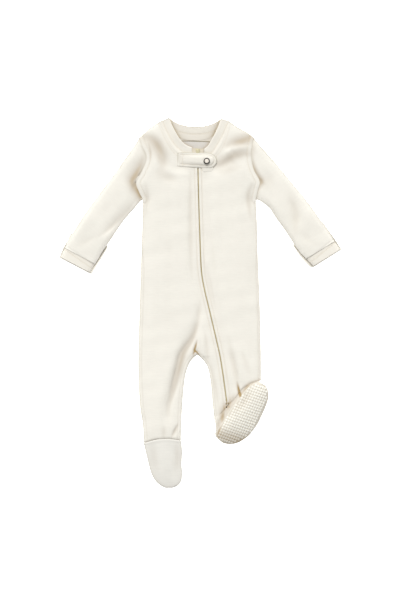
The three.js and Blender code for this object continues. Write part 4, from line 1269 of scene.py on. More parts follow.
@dataclass
class ShadePainter:
    """Shade painted by how deep each place lies among its surroundings, added to the painted shade of its
    folds, and along the garment's outline.

    Attributes:
        cell: Side of the cells that it is worked out in.
        reach: How far surroundings count.
        full: Depth that gets the full soft shade.
        outline: How strongly shade is painted along the garment's outline on its sides and, besides, on its
            upper edges, which face the light.
        rim: How far the outline is evened out, in cells.
        spared: Share of the depth's shade that the outline itself is spared.
    """

    cell: float = 1.55
    reach: float = 6.5
    full: float = 3.4
    outline: tuple[float, float] = (0.3, 0.7)
    rim: float = 2.0
    spared: float = 0.75

    def mark(self, cloths: Sequence[Cloth]) -> None:
        """Paints shade by depth, and shade along the outline, into the attributes that the finishes read.

        Args:
            cloths: The garment's sheets.
        """
        points = [corners_of(cloth.piece.data) / MM for cloth in cloths]
        ways = [cloth.normals() for cloth in cloths]
        low = np.min([place.min(axis=0) for place in points], axis=0)[:2] - 3 * self.reach
        cells = [((place[:, :2] - low) / self.cell).astype(int) for place in points]
        shape = tuple(np.max([cell.max(axis=0) for cell in cells], axis=0) + int(4 * self.reach))
        height = np.full(shape, -1.0)
        for place, way, cell in zip(points, ways, cells):
            top = way[:, 2] > 0.1
            np.maximum.at(height, tuple(cell[top].T), place[top, 2])
        known = (height >= 0).astype(float)
        span = self.reach / self.cell
        cover = blur(known, span)
        mean = blur(np.where(known > 0, height, 0), span) / np.maximum(cover, 1e-6)
        solid = blur((blur(known, 0.8) > 0.12).astype(float), self.rim)
        slope = np.stack(np.gradient(solid))
        upper = np.clip(-slope[1] / np.maximum(np.hypot(*slope), 1e-6), 0, 1) ** 2
        for cloth, place, way, cell in zip(cloths, points, ways, cells):
            attributes = cloth.piece.data.attributes
            tone = read_all(attributes["painted_shade"].data, "value", np.float32)
            edge = read_all(attributes["edge"].data, "value", np.float32)
            # Shade is painted only on faces that look up, and more the deeper they lie.
            facing = ease(way[:, 2], -0.1, 0.2)
            outer = 1 - ease(solid[tuple(cell.T)], 0.84, 0.98)
            depth = np.clip((mean[tuple(cell.T)] - place[:, 2]) / self.full, 0, 1)
            depth *= 1 - self.spared * outer
            depth = np.maximum(tone, np.minimum(tone + depth, 1)) * facing
            attributes["painted_shade"].data.foreach_set("value", depth.astype(np.float32))
            # Painted edge shade along the outline, stronger on upper edges, which face the light.
            painted_edge_shade = outer * (self.outline[0] + self.outline[1] * upper[tuple(cell.T)])
            edge = np.clip(np.maximum(edge * facing, painted_edge_shade), 0, 1)
            attributes["edge"].data.foreach_set("value", edge.astype(np.float32))


# ---- Small shapes, modelled once and repeated ----


def edit_faces(piece: bpy.types.Object, chosen: Callable[[bmesh.types.BMFace], bool]) -> None:
    """Enters edit mode on one object with only some of its faces selected.

    Args:
        piece: The object.
        chosen: Says whether a face is selected.
    """
    select_only(piece)
    bpy.ops.object.mode_set(mode="EDIT")
    bpy.ops.mesh.select_mode(type="FACE")
    bpy.ops.mesh.select_all(action="DESELECT")
    bm = bmesh.from_edit_mesh(piece.data)
    for face in bm.faces:
        face.select_set(chosen(face))
    bmesh.update_edit_mesh(piece.data)


def leave_edit() -> None:
    """Goes back to object mode."""
    bpy.ops.object.mode_set(mode="OBJECT")


def settle(piece: bpy.types.Object) -> None:
    """Puts an object's place into its mesh."""
    select_only(piece)
    bpy.ops.object.transform_apply(location=True, rotation=True, scale=True)


def extrude(move: tuple[float, float, float], size: tuple[float, float, float]) -> None:
    """Extrudes the selected faces by a move in millimetres, and resizes the new ones."""
    bpy.ops.mesh.extrude_region_move(TRANSFORM_OT_translate={"value": [step * MM for step in move]})
    bpy.ops.transform.resize(value=size)


def new_cylinder(name: str, vertices: int, radius: float, depth: float) -> bpy.types.Object:
    """Adds a cylinder that stands at the origin, as the start of a shape.

    Args:
        name: Its name.
        vertices: How many sides it has.
        radius: Its radius.
        depth: Its height.

    Returns:
        The cylinder.
    """
    bpy.ops.object.select_all(action="DESELECT")
    bpy.ops.mesh.primitive_cylinder_add(vertices=vertices, radius=radius * MM, depth=depth * MM)
    piece = bpy.context.active_object
    piece.name = name
    return piece


def stitch_shape(long: float, wide: float) -> bpy.types.Object:
    """One stitch of thread: a slim bead that lies along X, with narrow ends.

    Args:
        long: Its length.
        wide: Its width.

    Returns:
        The shape, to be repeated.
    """
    piece = new_cylinder("stitch_shape", 6, wide / 2, long * 0.6)
    for side in (-1, 1):
        edit_faces(piece, lambda face, side=side: face.normal.z * side > 0.9)
        extrude((0, 0, side * long * 0.2), (0.35, 0.35, 1))
        leave_edit()
    piece.rotation_euler = (0, math.pi / 2, 0)
    settle(piece)
    return piece


def dot_shape(radius: float, high: float) -> bpy.types.Object:
    """One grip dot: a low oval pad with a rounded face, long in Y, standing on the XY plane.

    Args:
        radius: Its radius.
        high: Its height.

    Returns:
        The shape, to be repeated.
    """
    piece = new_cylinder("dot_shape", 10, radius, high)
    edit_faces(piece, lambda face: face.normal.z > 0.9)
    bpy.ops.mesh.inset(thickness=radius * 0.38 * MM, depth=high * 0.45 * MM)
    leave_edit()
    piece.location = (0, 0, high * 0.3 * MM)
    piece.scale = (1, 1.12, 1)
    settle(piece)
    return piece


def tooth_shape(long: float, wide: float, high: float) -> bpy.types.Object:
    """One turn of the zip's coil: a rounded bar across the zip, thicker where it hooks.

    Args:
        long: Its length across the zip.
        wide: Its width along the zip.
        high: Its height.

    Returns:
        The shape, to be repeated.
    """
    piece = new_cylinder("tooth_shape", 6, wide / 2, long * 0.7)
    edit_faces(piece, lambda face: face.normal.z > 0.9)
    for size in (1.3, 0.6):
        extrude((0, 0, long * 0.15), (size, size, 1))
    leave_edit()
    piece.rotation_euler = (0, math.pi / 2, 0)
    settle(piece)
    piece.scale = (1, 1, high / wide)
    settle(piece)
    return piece


def repeat(name: str, shape: bpy.types.Object, places: Sequence[Matrix]) -> bpy.types.Object:
    """Copies a small shape to many places, as one piece, and removes the shape.

    Args:
        name: The piece's name.
        shape: The shape.
        places: Where each copy goes, in metres.

    Returns:
        The piece.
    """
    corners = np.array([[*vert.co, 1.0] for vert in shape.data.vertices])
    faces = [tuple(face.vertices) for face in shape.data.polygons]
    spots = [(corners @ np.array(place).T)[:, :3] for place in places]
    count = len(corners)
    all_faces = [
        tuple(index + copy * count for index in face) for copy in range(len(places)) for face in faces
    ]
    mesh = bpy.data.meshes.new(name)
    mesh.from_pydata(np.vstack(spots).tolist(), [], all_faces)
    mesh.update()
    piece = new_object(name, mesh)
    bpy.data.objects.remove(shape, do_unlink=True)
    smooth(piece, 55)
    return piece


def frame_at(place: Vector, along: Vector, up: Vector) -> Matrix:
    """Turns a place so that its X runs along a direction.

    Args:
        place: The place, in millimetres.
        along: Direction of its X.
        up: Direction that its Z keeps near.

    Returns:
        The place, in metres.
    """
    x = along.normalized()
    y = up.cross(x).normalized()
    z = x.cross(y)
    turn = Matrix((x, y, z)).transposed().to_4x4()
    return Matrix.Translation(place * MM) @ turn


def dress(piece: bpy.types.Object, slot: Slot, finish: Finish | None = None,
          replaces: Sequence[str] = ()) -> None:
    """Gives a piece its material, and makes it part of the garment.

    Args:
        piece: The piece.
        slot: Its slot.
        finish: A finish other than its slot's.
        replaces: Solids that it stands for.
    """
    piece.data.materials.clear()
    piece.data.materials.append(PALETTE.get(finish or slot))
    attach(piece, ROOT)
    if replaces:
        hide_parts(*replaces)
    LOG.info("%s: %d faces", piece.name, len(piece.data.polygons))


def coat(node: str, finish: Slot | Finish) -> None:
    """Gives a solid that stays its finish."""
    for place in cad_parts[node].material_slots:
        place.material = PALETTE.get(finish)


@dataclass
class Sewing:
    """Lines of stitches that lie on the cloth.

    Attributes:
        name: The piece's name.
        slot: The slot of the cloth that it is sewn to.
        long: Length of a stitch.
        wide: Thickness of the thread.
        pitch: Distance between stitches.
        thread: Finish of the thread.
        places: Where its stitches go so far.
    """

    name: str
    slot: Slot = Slot.COTTON
    long: float = 2.0
    wide: float = 0.42
    pitch: float = 2.6
    thread: Finish = THREAD
    places: list[Matrix] = field(default_factory=list)

    def down(self, ground: BVHTree, spot: np.ndarray) -> tuple[Vector, Vector] | None:
        """The place on the cloth under a spot, and the cloth's normal there."""
        hit, normal, _, _ = ground.ray_cast(Vector((spot[0], spot[1], OVER)), DOWN)
        return None if hit is None or normal.z < 0.2 else (hit, normal)

    def line(self, ground: BVHTree, course: Course, slant: float = 0.0) -> None:
        """Adds stitches along a line.

        Args:
            ground: The cloth.
            course: The line.
            slant: Turn of each stitch away from the line, in degrees.
        """
        for distance in np.arange(self.pitch / 2, course.length, self.pitch):
            place, ahead = course.at(distance)
            hit = self.down(ground, place)
            if hit is None:
                continue
            spot, normal = hit
            turn = Matrix.Rotation(math.radians(slant), 3, "Z")
            along = turn @ Vector((ahead[0], ahead[1], 0))
            along -= normal * along.dot(normal)
            self.places.append(frame_at(spot + normal * 0.06, along, normal))

    def bar(self, ground: BVHTree, centre: tuple[float, float], turn: float, long: float,
            count: int) -> None:
        """Adds a dense row of side-by-side stitches, as where a seam is locked.

        Args:
            ground: The cloth.
            centre: Its middle.
            turn: Direction of the row, in degrees from X.
            long: The row's length.
            count: How many stitches it has.
        """
        ahead = np.array([math.cos(math.radians(turn)), math.sin(math.radians(turn))])
        for share in np.linspace(-0.5, 0.5, count):
            hit = self.down(ground, np.array(centre) + ahead * share * long)
            if hit is not None:
                across = Vector((-ahead[1], ahead[0], 0))
                self.places.append(frame_at(hit[0] + hit[1] * 0.15, across, hit[1]))

    def build(self) -> bpy.types.Object:
        """Makes the stitches one piece.

        Returns:
            The piece.
        """
        piece = repeat(self.name, stitch_shape(self.long, self.wide), self.places)
        dress(piece, self.slot, self.thread)
        return piece


# ---- The garment ----


def seam_mark(*distances: np.ndarray) -> np.ndarray:
    """Makes one value that is near 0 only beside a seam.

    Args:
        distances: The signed distance from each seam.

    Returns:
        What the finishes read as the nearest seam.
    """
    reach = 6.0
    mark = np.full(len(distances[0]), reach)
    for distance in distances:
        mark *= np.clip(distance / reach, -1, 1)
    return mark


def tape_top(y: np.ndarray) -> np.ndarray:
    """Top of the zip tapes, which climb over the label at the neck."""
    return 2.5 + 1.3 * ease(y, 214, 226)


@dataclass
class Body:
    """The front, in two panels beside the zip, and the back.

    Attributes:
        under: Lowest top of a front panel above the back.
        hem: Distance between the zip and its topstitching.
        tuck: How far the back's edge lies inside the front's.
        puff: How much the front stands up away from its edges.
        crotch: Where the legs part.
        allowance: Distance between an armhole and its topstitching.
        neckline: Distance between the neck's seam and its topstitching.
        zip_end: How far before the end of its line the zip stops parting the panels.
        welt: How much the turned-in cloth stands up along the zip.
        fronts: The finished front panels.
    """

    under: float = 2.4
    hem: float = 5.4
    tuck: float = 1.5
    puff: float = 2.4
    crotch: tuple[float, float] = (2.0, -82.0)
    allowance: float = 6.3
    neckline: float = 2.6
    zip_end: float = 6.0
    welt: float = 0.5
    fronts: list[Cloth] = field(default_factory=list)

    def build(self) -> None:
        """Makes the three panels."""
        self.back()
        self.front("front_left")
        self.front("front_right")
        self.sewing()

    def back(self) -> None:
        """Makes the back panel, whose edges lie just inside the front's."""
        cloth = Cloth("back", Slot.COTTON, levels=2)
        sides = cloth.rim_clear_of(
            ARMHOLE_LEFT, ARMHOLE_RIGHT, SHOULDER_LEFT, SHOULDER_RIGHT, NECK_SEAM_BACK
        )
        cloth.draw_in(sides, self.tuck)
        cloth.tuck_under(NECK_SEAM_BACK, 2.0, 0.0)
        places = cloth.points
        places[:, 2] -= 0.08 - np.clip(drape(places, 0.1), -0.08, 0.08)
        # Painted shade over the whole back, which lies under the front.
        cloth.close(places[:, 0], places[:, 1], tone=0.5)
        cloth.hand_over()

    def front(self, node: str) -> None:
        """Makes one front panel.

        Args:
            node: Its solid.
        """
        cloth = Cloth(node, Slot.COTTON)
        cloth.soften(self.crotch, 26, 40)
        places = cloth.points
        zip_side, zip_along = ZIP_LINE.locate(places)
        zip_gap = np.abs(zip_side)
        past_zip = zip_along > ZIP_LINE.length - self.zip_end
        # It lies on the tapes beside the zip, and on the back elsewhere.
        near_zip = np.where(past_zip, 0, 1 - ease(zip_gap, 10, 15))
        floor = self.under + near_zip * (tape_top(places[:, 1]) + 1.15 - self.under)
        armhole = np.minimum(ARMHOLE_LEFT.gap(places), ARMHOLE_RIGHT.gap(places))
        outer = cloth.rim_clear_of(
            ZIP_LINE, ARMHOLE_LEFT, ARMHOLE_RIGHT, NECK_SEAM_LEFT, NECK_SEAM_RIGHT, ANKLE_LEFT, ANKLE_RIGHT,
            reach=3.0,
        )
        room, _ = cloth.from_rim(outer)
        neck = np.minimum(NECK_SEAM_LEFT.gap(places), NECK_SEAM_RIGHT.gap(places))
        free = ease(armhole, 0, 14) * ease(neck, 0, 16) * ease(TAB_LINE.gap(places), 11, 26)
        height, tone = crease(BODY_FOLDS, places)
        puff = self.puff * (1 - np.exp(-room / 14)) * ease(zip_gap, 5, 26)
        welt = self.welt * (bell(zip_gap, 3.2, 1.6) - bell(zip_gap, self.hem, 1.0)) * ~past_zip
        height = (height + drape(places, 0.5) + puff) * (0.12 + 0.88 * free) + welt
        cloth.raise_by(height + 0.3 * bell(armhole, 3.0, 3.0), floor)
        # Its seams sink in, and its edges round off.
        places[:, 2] -= 0.2 * bell(neck, 0.0, 1.2) + 0.2 * bell(armhole, self.allowance, 0.9)
        cloth.roll_edges(outer, 1.05, 4.0)
        right_drop = 0.5 * ease(places[:, 0], 34, 46) + 0.6 * ease(places[:, 0], 62, 70)
        for course, drop in ((ANKLE_LEFT, 1.3), (ANKLE_RIGHT, right_drop)):
            places[:, 2] -= drop * (1 - rounded(course.gap(places), 2.5))
        near = (zip_gap < 2.7) & ~past_zip
        places[near, 2] -= 0.6 * (1 - rounded(zip_gap - 1.4, 1.3)[near])
        # The side seam lies a little further in on the left, and runs out below the waist.
        side_seam = room - np.where(places[:, 0] < 0, 6.5, 5.0) * (1 - ease(places[:, 1], 40, 110)) + 0.8
        # Painted shade along the armhole seam.
        tone += 0.6 * bell(armhole, 0.0, 0.9)
        mark = seam_mark(zip_gap - self.hem, armhole - self.allowance, neck - self.neckline, side_seam)
        # Both panels close up over the coil, and meet below it.
        closer = 0.55 + 1.0 * ease(zip_along, ZIP_LINE.length - 9.5, ZIP_LINE.length - 7.5)
        closer = np.minimum(closer * (1 - ease(zip_gap, 1.4, 7)), np.maximum(zip_gap - 0.1, 0))
        places[:, 0] -= closer * np.sign(zip_side)
        cloth.close(places[:, 0], places[:, 1], mark, tone)
        cloth.hand_over()
        self.fronts.append(cloth)

    def sewing(self) -> None:
        """Topstitches the panels beside the zip, the armholes and the neck's seam."""
        left, right = (cloth.tree() for cloth in self.fronts)
        line = ZIP_LINE.part(20, ZIP_LINE.length - self.zip_end)
        sides = Sewing("stitches_zip_sides")
        sides.line(left, line.beside(-self.hem))
        sides.line(right, line.beside(self.hem))
        sides.build()
        holes = Sewing("stitches_armholes")
        holes.line(left, ARMHOLE_LEFT.beside(self.allowance))
        holes.line(right, ARMHOLE_RIGHT.beside(-self.allowance))
        holes.line(left, NECK_SEAM_LEFT.beside(-self.neckline))
        holes.line(right, NECK_SEAM_RIGHT.beside(-self.neckline))
        holes.build()
        # The bartacks' thread is painted darker for the shade at the zip's end.
        lock = Sewing("bartack_zip_end", long=3.4, wide=0.5, thread=SHADED_LOCK_THREAD)
        lock.bar(left, (40.9, -156.0), 5, 1.6, 4)
        lock.bar(right, (43.4, -155.6), 5, 1.6, 4)
        lock.build()
        # Near-black thread bars that paint the shadowed dark spot where the zip ends.
        shadow_spot = Sewing("thread_zip_end_shadow", long=2.2, wide=0.8, thread=ZIP_END_SHADOW_THREAD)
        shadow_spot.bar(left, (41.0, -161.8), 8, 1.2, 3)
        shadow_spot.bar(right, (43.2, -161.0), 8, 0.8, 2)
        shadow_spot.build()


@dataclass
class Neck:
    """The rib neckband, with the label inside it.

    Attributes:
        stitch: Distance between the free edge and the line of stitches.
        stand: How far the front's free edge stands up.
        right_wider: How much further the shade of the right edge reaches than that of the left.
        far: How far the faint part of that shade reaches.
    """

    stitch: float = 12.0
    stand: float = 1.6
    right_wider: float = 1.6
    far: float = 7.0

    def build(self) -> None:
        """Makes the three stretches of the band, the label and their stitches."""
        bands = [
            self.band("neckband_left", NECK_EDGE_LEFT, NECK_SEAM_LEFT, (84, 21), 1420),
            self.band("neckband_back", NECK_EDGE_BACK, None, (112, 27), 1960),
            self.band("neckband_right", NECK_EDGE_RIGHT, NECK_SEAM_RIGHT, (74, 21), 1180),
        ]
        label = self.label()
        lines = Sewing("stitches_neck", slot=Slot.RIB)
        for band, course in zip(bands, (NECK_EDGE_LEFT, NECK_EDGE_BACK, NECK_EDGE_RIGHT)):
            tree = band.tree()
            lines.line(tree, course.beside(-self.stitch), 12)
            lines.line(tree, course.beside(1.2 - self.stitch), -12)
        tree = label.tree()
        for x, y in ((-28.2, 246.0), (-28.6, 240.0), (13.9, 245.0), (13.5, 239.0)):
            lines.bar(tree, (x, y), 90, 3.2, 5)
        lines.build()
        # Chain stitches along the back neck's seam, in a dark thread that paints the seam's shadow.
        chain = Sewing("chain_neck_back_shadow", slot=Slot.RIB, long=2.2, wide=1.0, pitch=1.7, thread=SEAM_SHADOW_THREAD)
        chain.line(tree, Course(((-29, 250.3), (-8, 249.8), (14.6, 249.0))))
        chain.build()

    def band(self, node: str, edge: Course, seam: Course | None, flat: tuple[float, float],
             area: float) -> Cloth:
        """Makes one stretch of the neckband.

        Args:
            node: Its solid.
            edge: Its free edge.
            seam: Its seam with the front, if it has one.
            flat: Length and width of its cut; not used.
            area: Area of its cut; not used.

        Returns:
            The finished band.
        """
        cloth = Cloth(node, Slot.RIB, wall=1.2)
        places = cloth.points
        inside, along = edge.locate(places)
        inside = np.abs(inside)
        tone, painted_edge_shade = 0.0, 0.0
        if seam is None:
            # On the back band: painted shade inside the neck, and painted shadow beside the front's free
            # edges.
            tone = 0.3 + 0.1 * ease(inside, 6, 18) + 1.4 * self.shadow(places)
            painted_edge_shade = 0.4 * self.shadow(places, 2.2)
        else:
            ends = np.sin(np.pi * np.clip(along / edge.length, 0.1, 0.9))
            places[:, 2] += self.stand * (1 - ease(inside, 0, 10)) * ends + 1.2 * ease(inside, 9, 17)
            cloth.tuck_under(seam, -1.3, 0.9)
        places[:, 2] -= 0.75 * (1 - rounded(inside, 2.2))
        places[:, 2] -= (0.1 if seam is None else 0.2) * bell(inside, self.stitch - 0.6, 1.1)
        cloth.close(inside, along, seam_mark(inside - self.stitch + 0.6), tone, painted_edge_shade)
        cloth.hand_over()
        return cloth

    def shadow(self, places: np.ndarray, wide: float = 2.6) -> np.ndarray:
        """Painted shadow on what lies inside the neck, close to the front's free edges."""
        gap = np.minimum(NECK_EDGE_LEFT.gap(places), NECK_EDGE_RIGHT.gap(places) / self.right_wider)
        return bell(gap, 0.0, wide) + 0.1 * wide * np.exp(-gap / self.far)

    def label(self) -> Cloth:
        """Makes the bare woven label.

        Returns:
            The finished label.
        """
        cloth = Cloth("label", Slot.LABEL, wall=0.45, levels=4)
        places = cloth.points
        places[:, 2] += 0.25 * np.sin((places[:, 0] + 30) / 45 * 3 * math.pi) - 0.3
        # Painted shade on the label, darkest beside the front's free edges.
        cloth.close(places[:, 0], places[:, 1], tone=0.55 + 0.7 * self.shadow(places))
        cloth.hand_over()
        return cloth


@dataclass
class Zip:
    """Tapes, coil and slider of the zip.

    Attributes:
        pitch: Distance between the coil's turns.
        clear: How far from the zip's top the coil begins.
        short: How far before its end the coil ends.
    """

    pitch: float = 1.5
    clear: float = 3.5
    short: float = 9.5

    def build(self) -> None:
        """Makes the zip's pieces."""
        self.tape("zip_tape_left")
        self.tape("zip_tape_right")
        self.coil()
        self.slider()
        coat("zip_stop", STOP)
        coat("zip_pull", Slot.SLIDER)

    def tape(self, node: str) -> None:
        """Makes one woven tape.

        Args:
            node: Its solid.
        """
        cloth = Cloth(node, Slot.TAPE, wall=0.6, levels=2)
        places = cloth.points
        side, along = ZIP_LINE.locate(places)
        # Painted shade on the tapes' top ends, at the neck.
        cloth.close(side, along, tone=0.9 * ease(places[:, 1], 233, 237))
        cloth.dress()

    def coil(self) -> None:
        """Makes the coil from its turns, which hook into each other along the middle."""
        shape = tooth_shape(1.5, 0.75, 1.1)
        places = []
        turns = np.arange(self.clear, ZIP_LINE.length - self.short, self.pitch / 2)
        for index, distance in enumerate(turns):
            place, ahead = ZIP_LINE.at(distance)
            side = 1 if index % 2 else -1
            across = Vector((ahead[1] * side, -ahead[0] * side, 0))
            spot = Vector((place[0], place[1], 0)) - across * 0.3
            spot.z = float(tape_top(np.array([place[1]]))[0]) + 0.45
            places.append(frame_at(spot, across, UP))
        piece = repeat("zip_coil_turns", shape, places)
        dress(piece, Slot.COIL, replaces=["zip_coil"])

    def slider(self) -> None:
        """Makes the slider: a tapered plate with a bridge for the pull."""
        low, high = (Vector(corner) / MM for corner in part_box("zip_slider"))
        middle = (low + high) / 2
        bpy.ops.object.select_all(action="DESELECT")
        bpy.ops.mesh.primitive_cube_add(size=MM)
        plate = bpy.context.active_object
        plate.name = "slider_body"
        plate.scale = (high.x - low.x, high.y - low.y, 1.4)
        settle(plate)
        edit_faces(plate, lambda face: face.normal.y < -0.9)
        bpy.ops.transform.resize(value=(0.66, 1, 1))
        leave_edit()
        edit_faces(plate, lambda face: face.normal.y > 0.9)
        extrude((0, 1.0, 0), (0.55, 1, 1))
        leave_edit()
        edit_faces(plate, lambda face: face.normal.z > 0.9)
        bpy.ops.mesh.inset(thickness=0.9 * MM, depth=0.35 * MM)
        leave_edit()
        add_modifier(plate, "BEVEL", width=0.25 * MM, segments=3, limit_method="ANGLE")
        bridge = new_cylinder("slider_bridge", 12, 0.75, 0.9)
        bridge.rotation_euler = (math.pi / 2, 0, 0)
        bridge.location = (0, -2.4 * MM, 0.8 * MM)
        settle(bridge)
        edit_faces(bridge, lambda face: face.normal.y > 0.9)
        bpy.ops.mesh.spin(steps=8, angle=-math.radians(60), center=(0, 0, -1.4 * MM), axis=(1, 0, 0))
        leave_edit()
        select_only(plate)
        bridge.select_set(True)
        bpy.ops.object.join()
        plate.location = (middle.x * MM, (middle.y - 0.4) * MM, (low.z + 0.75) * MM)
        settle(plate)
        smooth(plate, 40)
        dress(plate, Slot.SLIDER, replaces=["zip_slider"])


@dataclass
class Tab:
    """The snap tab over the top of the zip, and the patch under its end.

    Attributes:
        start: Middle of its left end.
        turn: Direction of its length, in degrees from X.
        snap: Distance between its left end and the snap.
        ring: Outer radius of the snap's ring.
        hole: Inner radius of the ring.
        lower: How far the snap lies above the tab's middle line, negative below it.
        rest: Level of the tab's rim where it lies on the front.
        sewn: Distance between the tab's rim and its topstitching.
        hem: Distance between its left end and the line that fixes it.
    """

    start: tuple[float, float] = (-34.9, 221.6)
    turn: float = -2.4
    snap: float = 45.4
    ring: float = 5.4
    hole: float = 2.9
    lower: float = -1.2
    rest: float = 5.9
    sewn: float = 4.0
    hem: float = 8.2

    @property
    def way(self) -> tuple[float, float]:
        """Unit direction of its length."""
        return math.cos(math.radians(self.turn)), math.sin(math.radians(self.turn))

    def spot(self, along: float, across: float) -> tuple[float, float]:
        """Finds the place of a point on the tab.

        Args:
            along: How far along.
            across: How far across.

        Returns:
            Its x and y.
        """
        cos, sin = self.way
        x, y = self.start
        return x + along * cos - across * sin, y + along * sin + across * cos

    def build(self) -> None:
        """Makes the tab, its stitches, the patch and the snap."""
        tab = self.cloth()
        self.patch()
        tree = tab.tree()
        half = [(5, 7.4), (30, 7.8), (46, 8.2), (53, 6.6), (57.2, 3.0), (58, 0)]
        outline = [*half, *((along, -across) for along, across in half[-2::-1])]
        lines = Sewing("stitches_tab")
        for run in (outline, [(self.hem, across) for across in (10.2, 0, -10.2)]):
            lines.line(tree, Course([self.spot(*place) for place in run], 1.5))
        lines.build()
        self.snap_ring()
        coat("snap_stud", Slot.SNAP)

    def local(self, places: np.ndarray) -> tuple[np.ndarray, np.ndarray]:
        """Finds where places lie on the tab.

        Args:
            places: One row for each place.

        Returns:
            How far they are along the tab, and across it.
        """
        cos, sin = self.way
        x, y = places[:, 0] - self.start[0], places[:, 1] - self.start[1]
        return x * cos + y * sin, -x * sin + y * cos

    def cloth(self) -> Cloth:
        """Makes the tab itself: two layers sewn together, with rolled edges.

        Returns:
            The finished tab.
        """
        cloth = Cloth("snap_tab", Slot.COTTON, wall=1.1)
        places = cloth.points
        room, _ = cloth.from_rim(cloth.rim)
        along, across = self.local(places)
        low = self.rest + 0.8 * ease(along, 25, 45)
        bend = 1 - ease(room, 0, 9.5)
        places[:, 2] -= bend * np.maximum(places[:, 2] - low, 0)
        places[:, 2] -= 0.7 * (1 - rounded(room, 1.6))
        places[:, 2] -= 0.3 * bell(room, self.sewn, 0.9) + 0.25 * bell(along, self.hem, 1.0)
        from_snap = np.hypot(along - self.snap, across - self.lower)
        places[:, 2] -= 0.5 * bell(from_snap, self.ring, 2.0)
        places[:, 2] += drape(places * 2.5, 0.15)
        # Painted shade: a dark line along the rim, strongest on the upper edge, and a little shade over the
        # whole tab.
        edge = (1 - ease(room, 0.4, 1.9)) * (0.15 + 0.75 * ease(across, -8, 2))
        seams = seam_mark(room - self.sewn, along - self.hem)
        cloth.close(places[:, 0], places[:, 1], seams, 0.15, edge)
        cloth.hand_over()
        return cloth

    def patch(self) -> None:
        """Makes the patch that carries the snap's stud."""
        cloth = Cloth("tab_patch", Slot.COTTON, wall=0.8)
        places = cloth.points
        room, _ = cloth.from_rim(cloth.rim)
        places[:, 2] -= 0.4 * (1 - rounded(room, 1.4))
        cloth.close(places[:, 0], places[:, 1], seam_mark(room - 2.2))
        cloth.hand_over()

    def snap_ring(self) -> None:
        """Makes the open ring, spun about its axis, and the cloth that bulges through it."""
        x, y = self.spot(self.snap, self.lower)
        low = Vector(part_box("snap_ring")[0]) / MM
        ring = new_cylinder("snap_ring_rim", 6, 0.5, 0.4)
        ring.rotation_euler = (math.pi / 2, 0, 0)
        ring.location = ((self.ring + self.hole) / 2 * MM, 0, 0)
        ring.scale = (1.9, 0.9, 1)
        settle(ring)
        edit_faces(ring, lambda face: face.normal.y > -0.9)
        bpy.ops.mesh.delete(type="FACE")
        leave_edit()
        edit_faces(ring, lambda face: True)
        bpy.ops.mesh.delete(type="ONLY_FACE")
        bpy.ops.mesh.select_mode(type="EDGE")
        bpy.ops.mesh.select_all(action="SELECT")
        bpy.ops.mesh.spin(steps=40, angle=2 * math.pi, center=(0, 0, 0), axis=(0, 0, 1))
        bpy.ops.mesh.select_all(action="SELECT")
        bpy.ops.mesh.remove_doubles(threshold=0.01 * MM)
        bpy.ops.mesh.normals_make_consistent(inside=False)
        leave_edit()
        ring.location = (x * MM, y * MM, (low.z + 0.45) * MM)
        settle(ring)
        add_modifier(ring, "SUBSURF", levels=1, render_levels=1)
        bpy.ops.object.shade_smooth()
        dress(ring, Slot.SNAP, replaces=["snap_ring"])
        bulge = new_cylinder("snap_cloth", 24, self.hole + 0.5, 0.5)
        for inset, rise in ((0.9, 0.25), (0.9, 0.14), (0.8, 0.05)):
            edit_faces(bulge, lambda face: face.normal.z > 0.9)
            bpy.ops.mesh.inset(thickness=inset * MM, depth=rise * MM)
            leave_edit()
        bulge.location = (x * MM, y * MM, (low.z + 0.2) * MM)
        settle(bulge)
        add_modifier(bulge, "SUBSURF", levels=2, render_levels=2)
        bpy.ops.object.shade_smooth()
        # The same cotton, painted lighter: painted light on the cloth that bulges through the ring.
        dress(bulge, Slot.COTTON, Knit("snap_cloth_knit_lit", (246, 240, 230)))


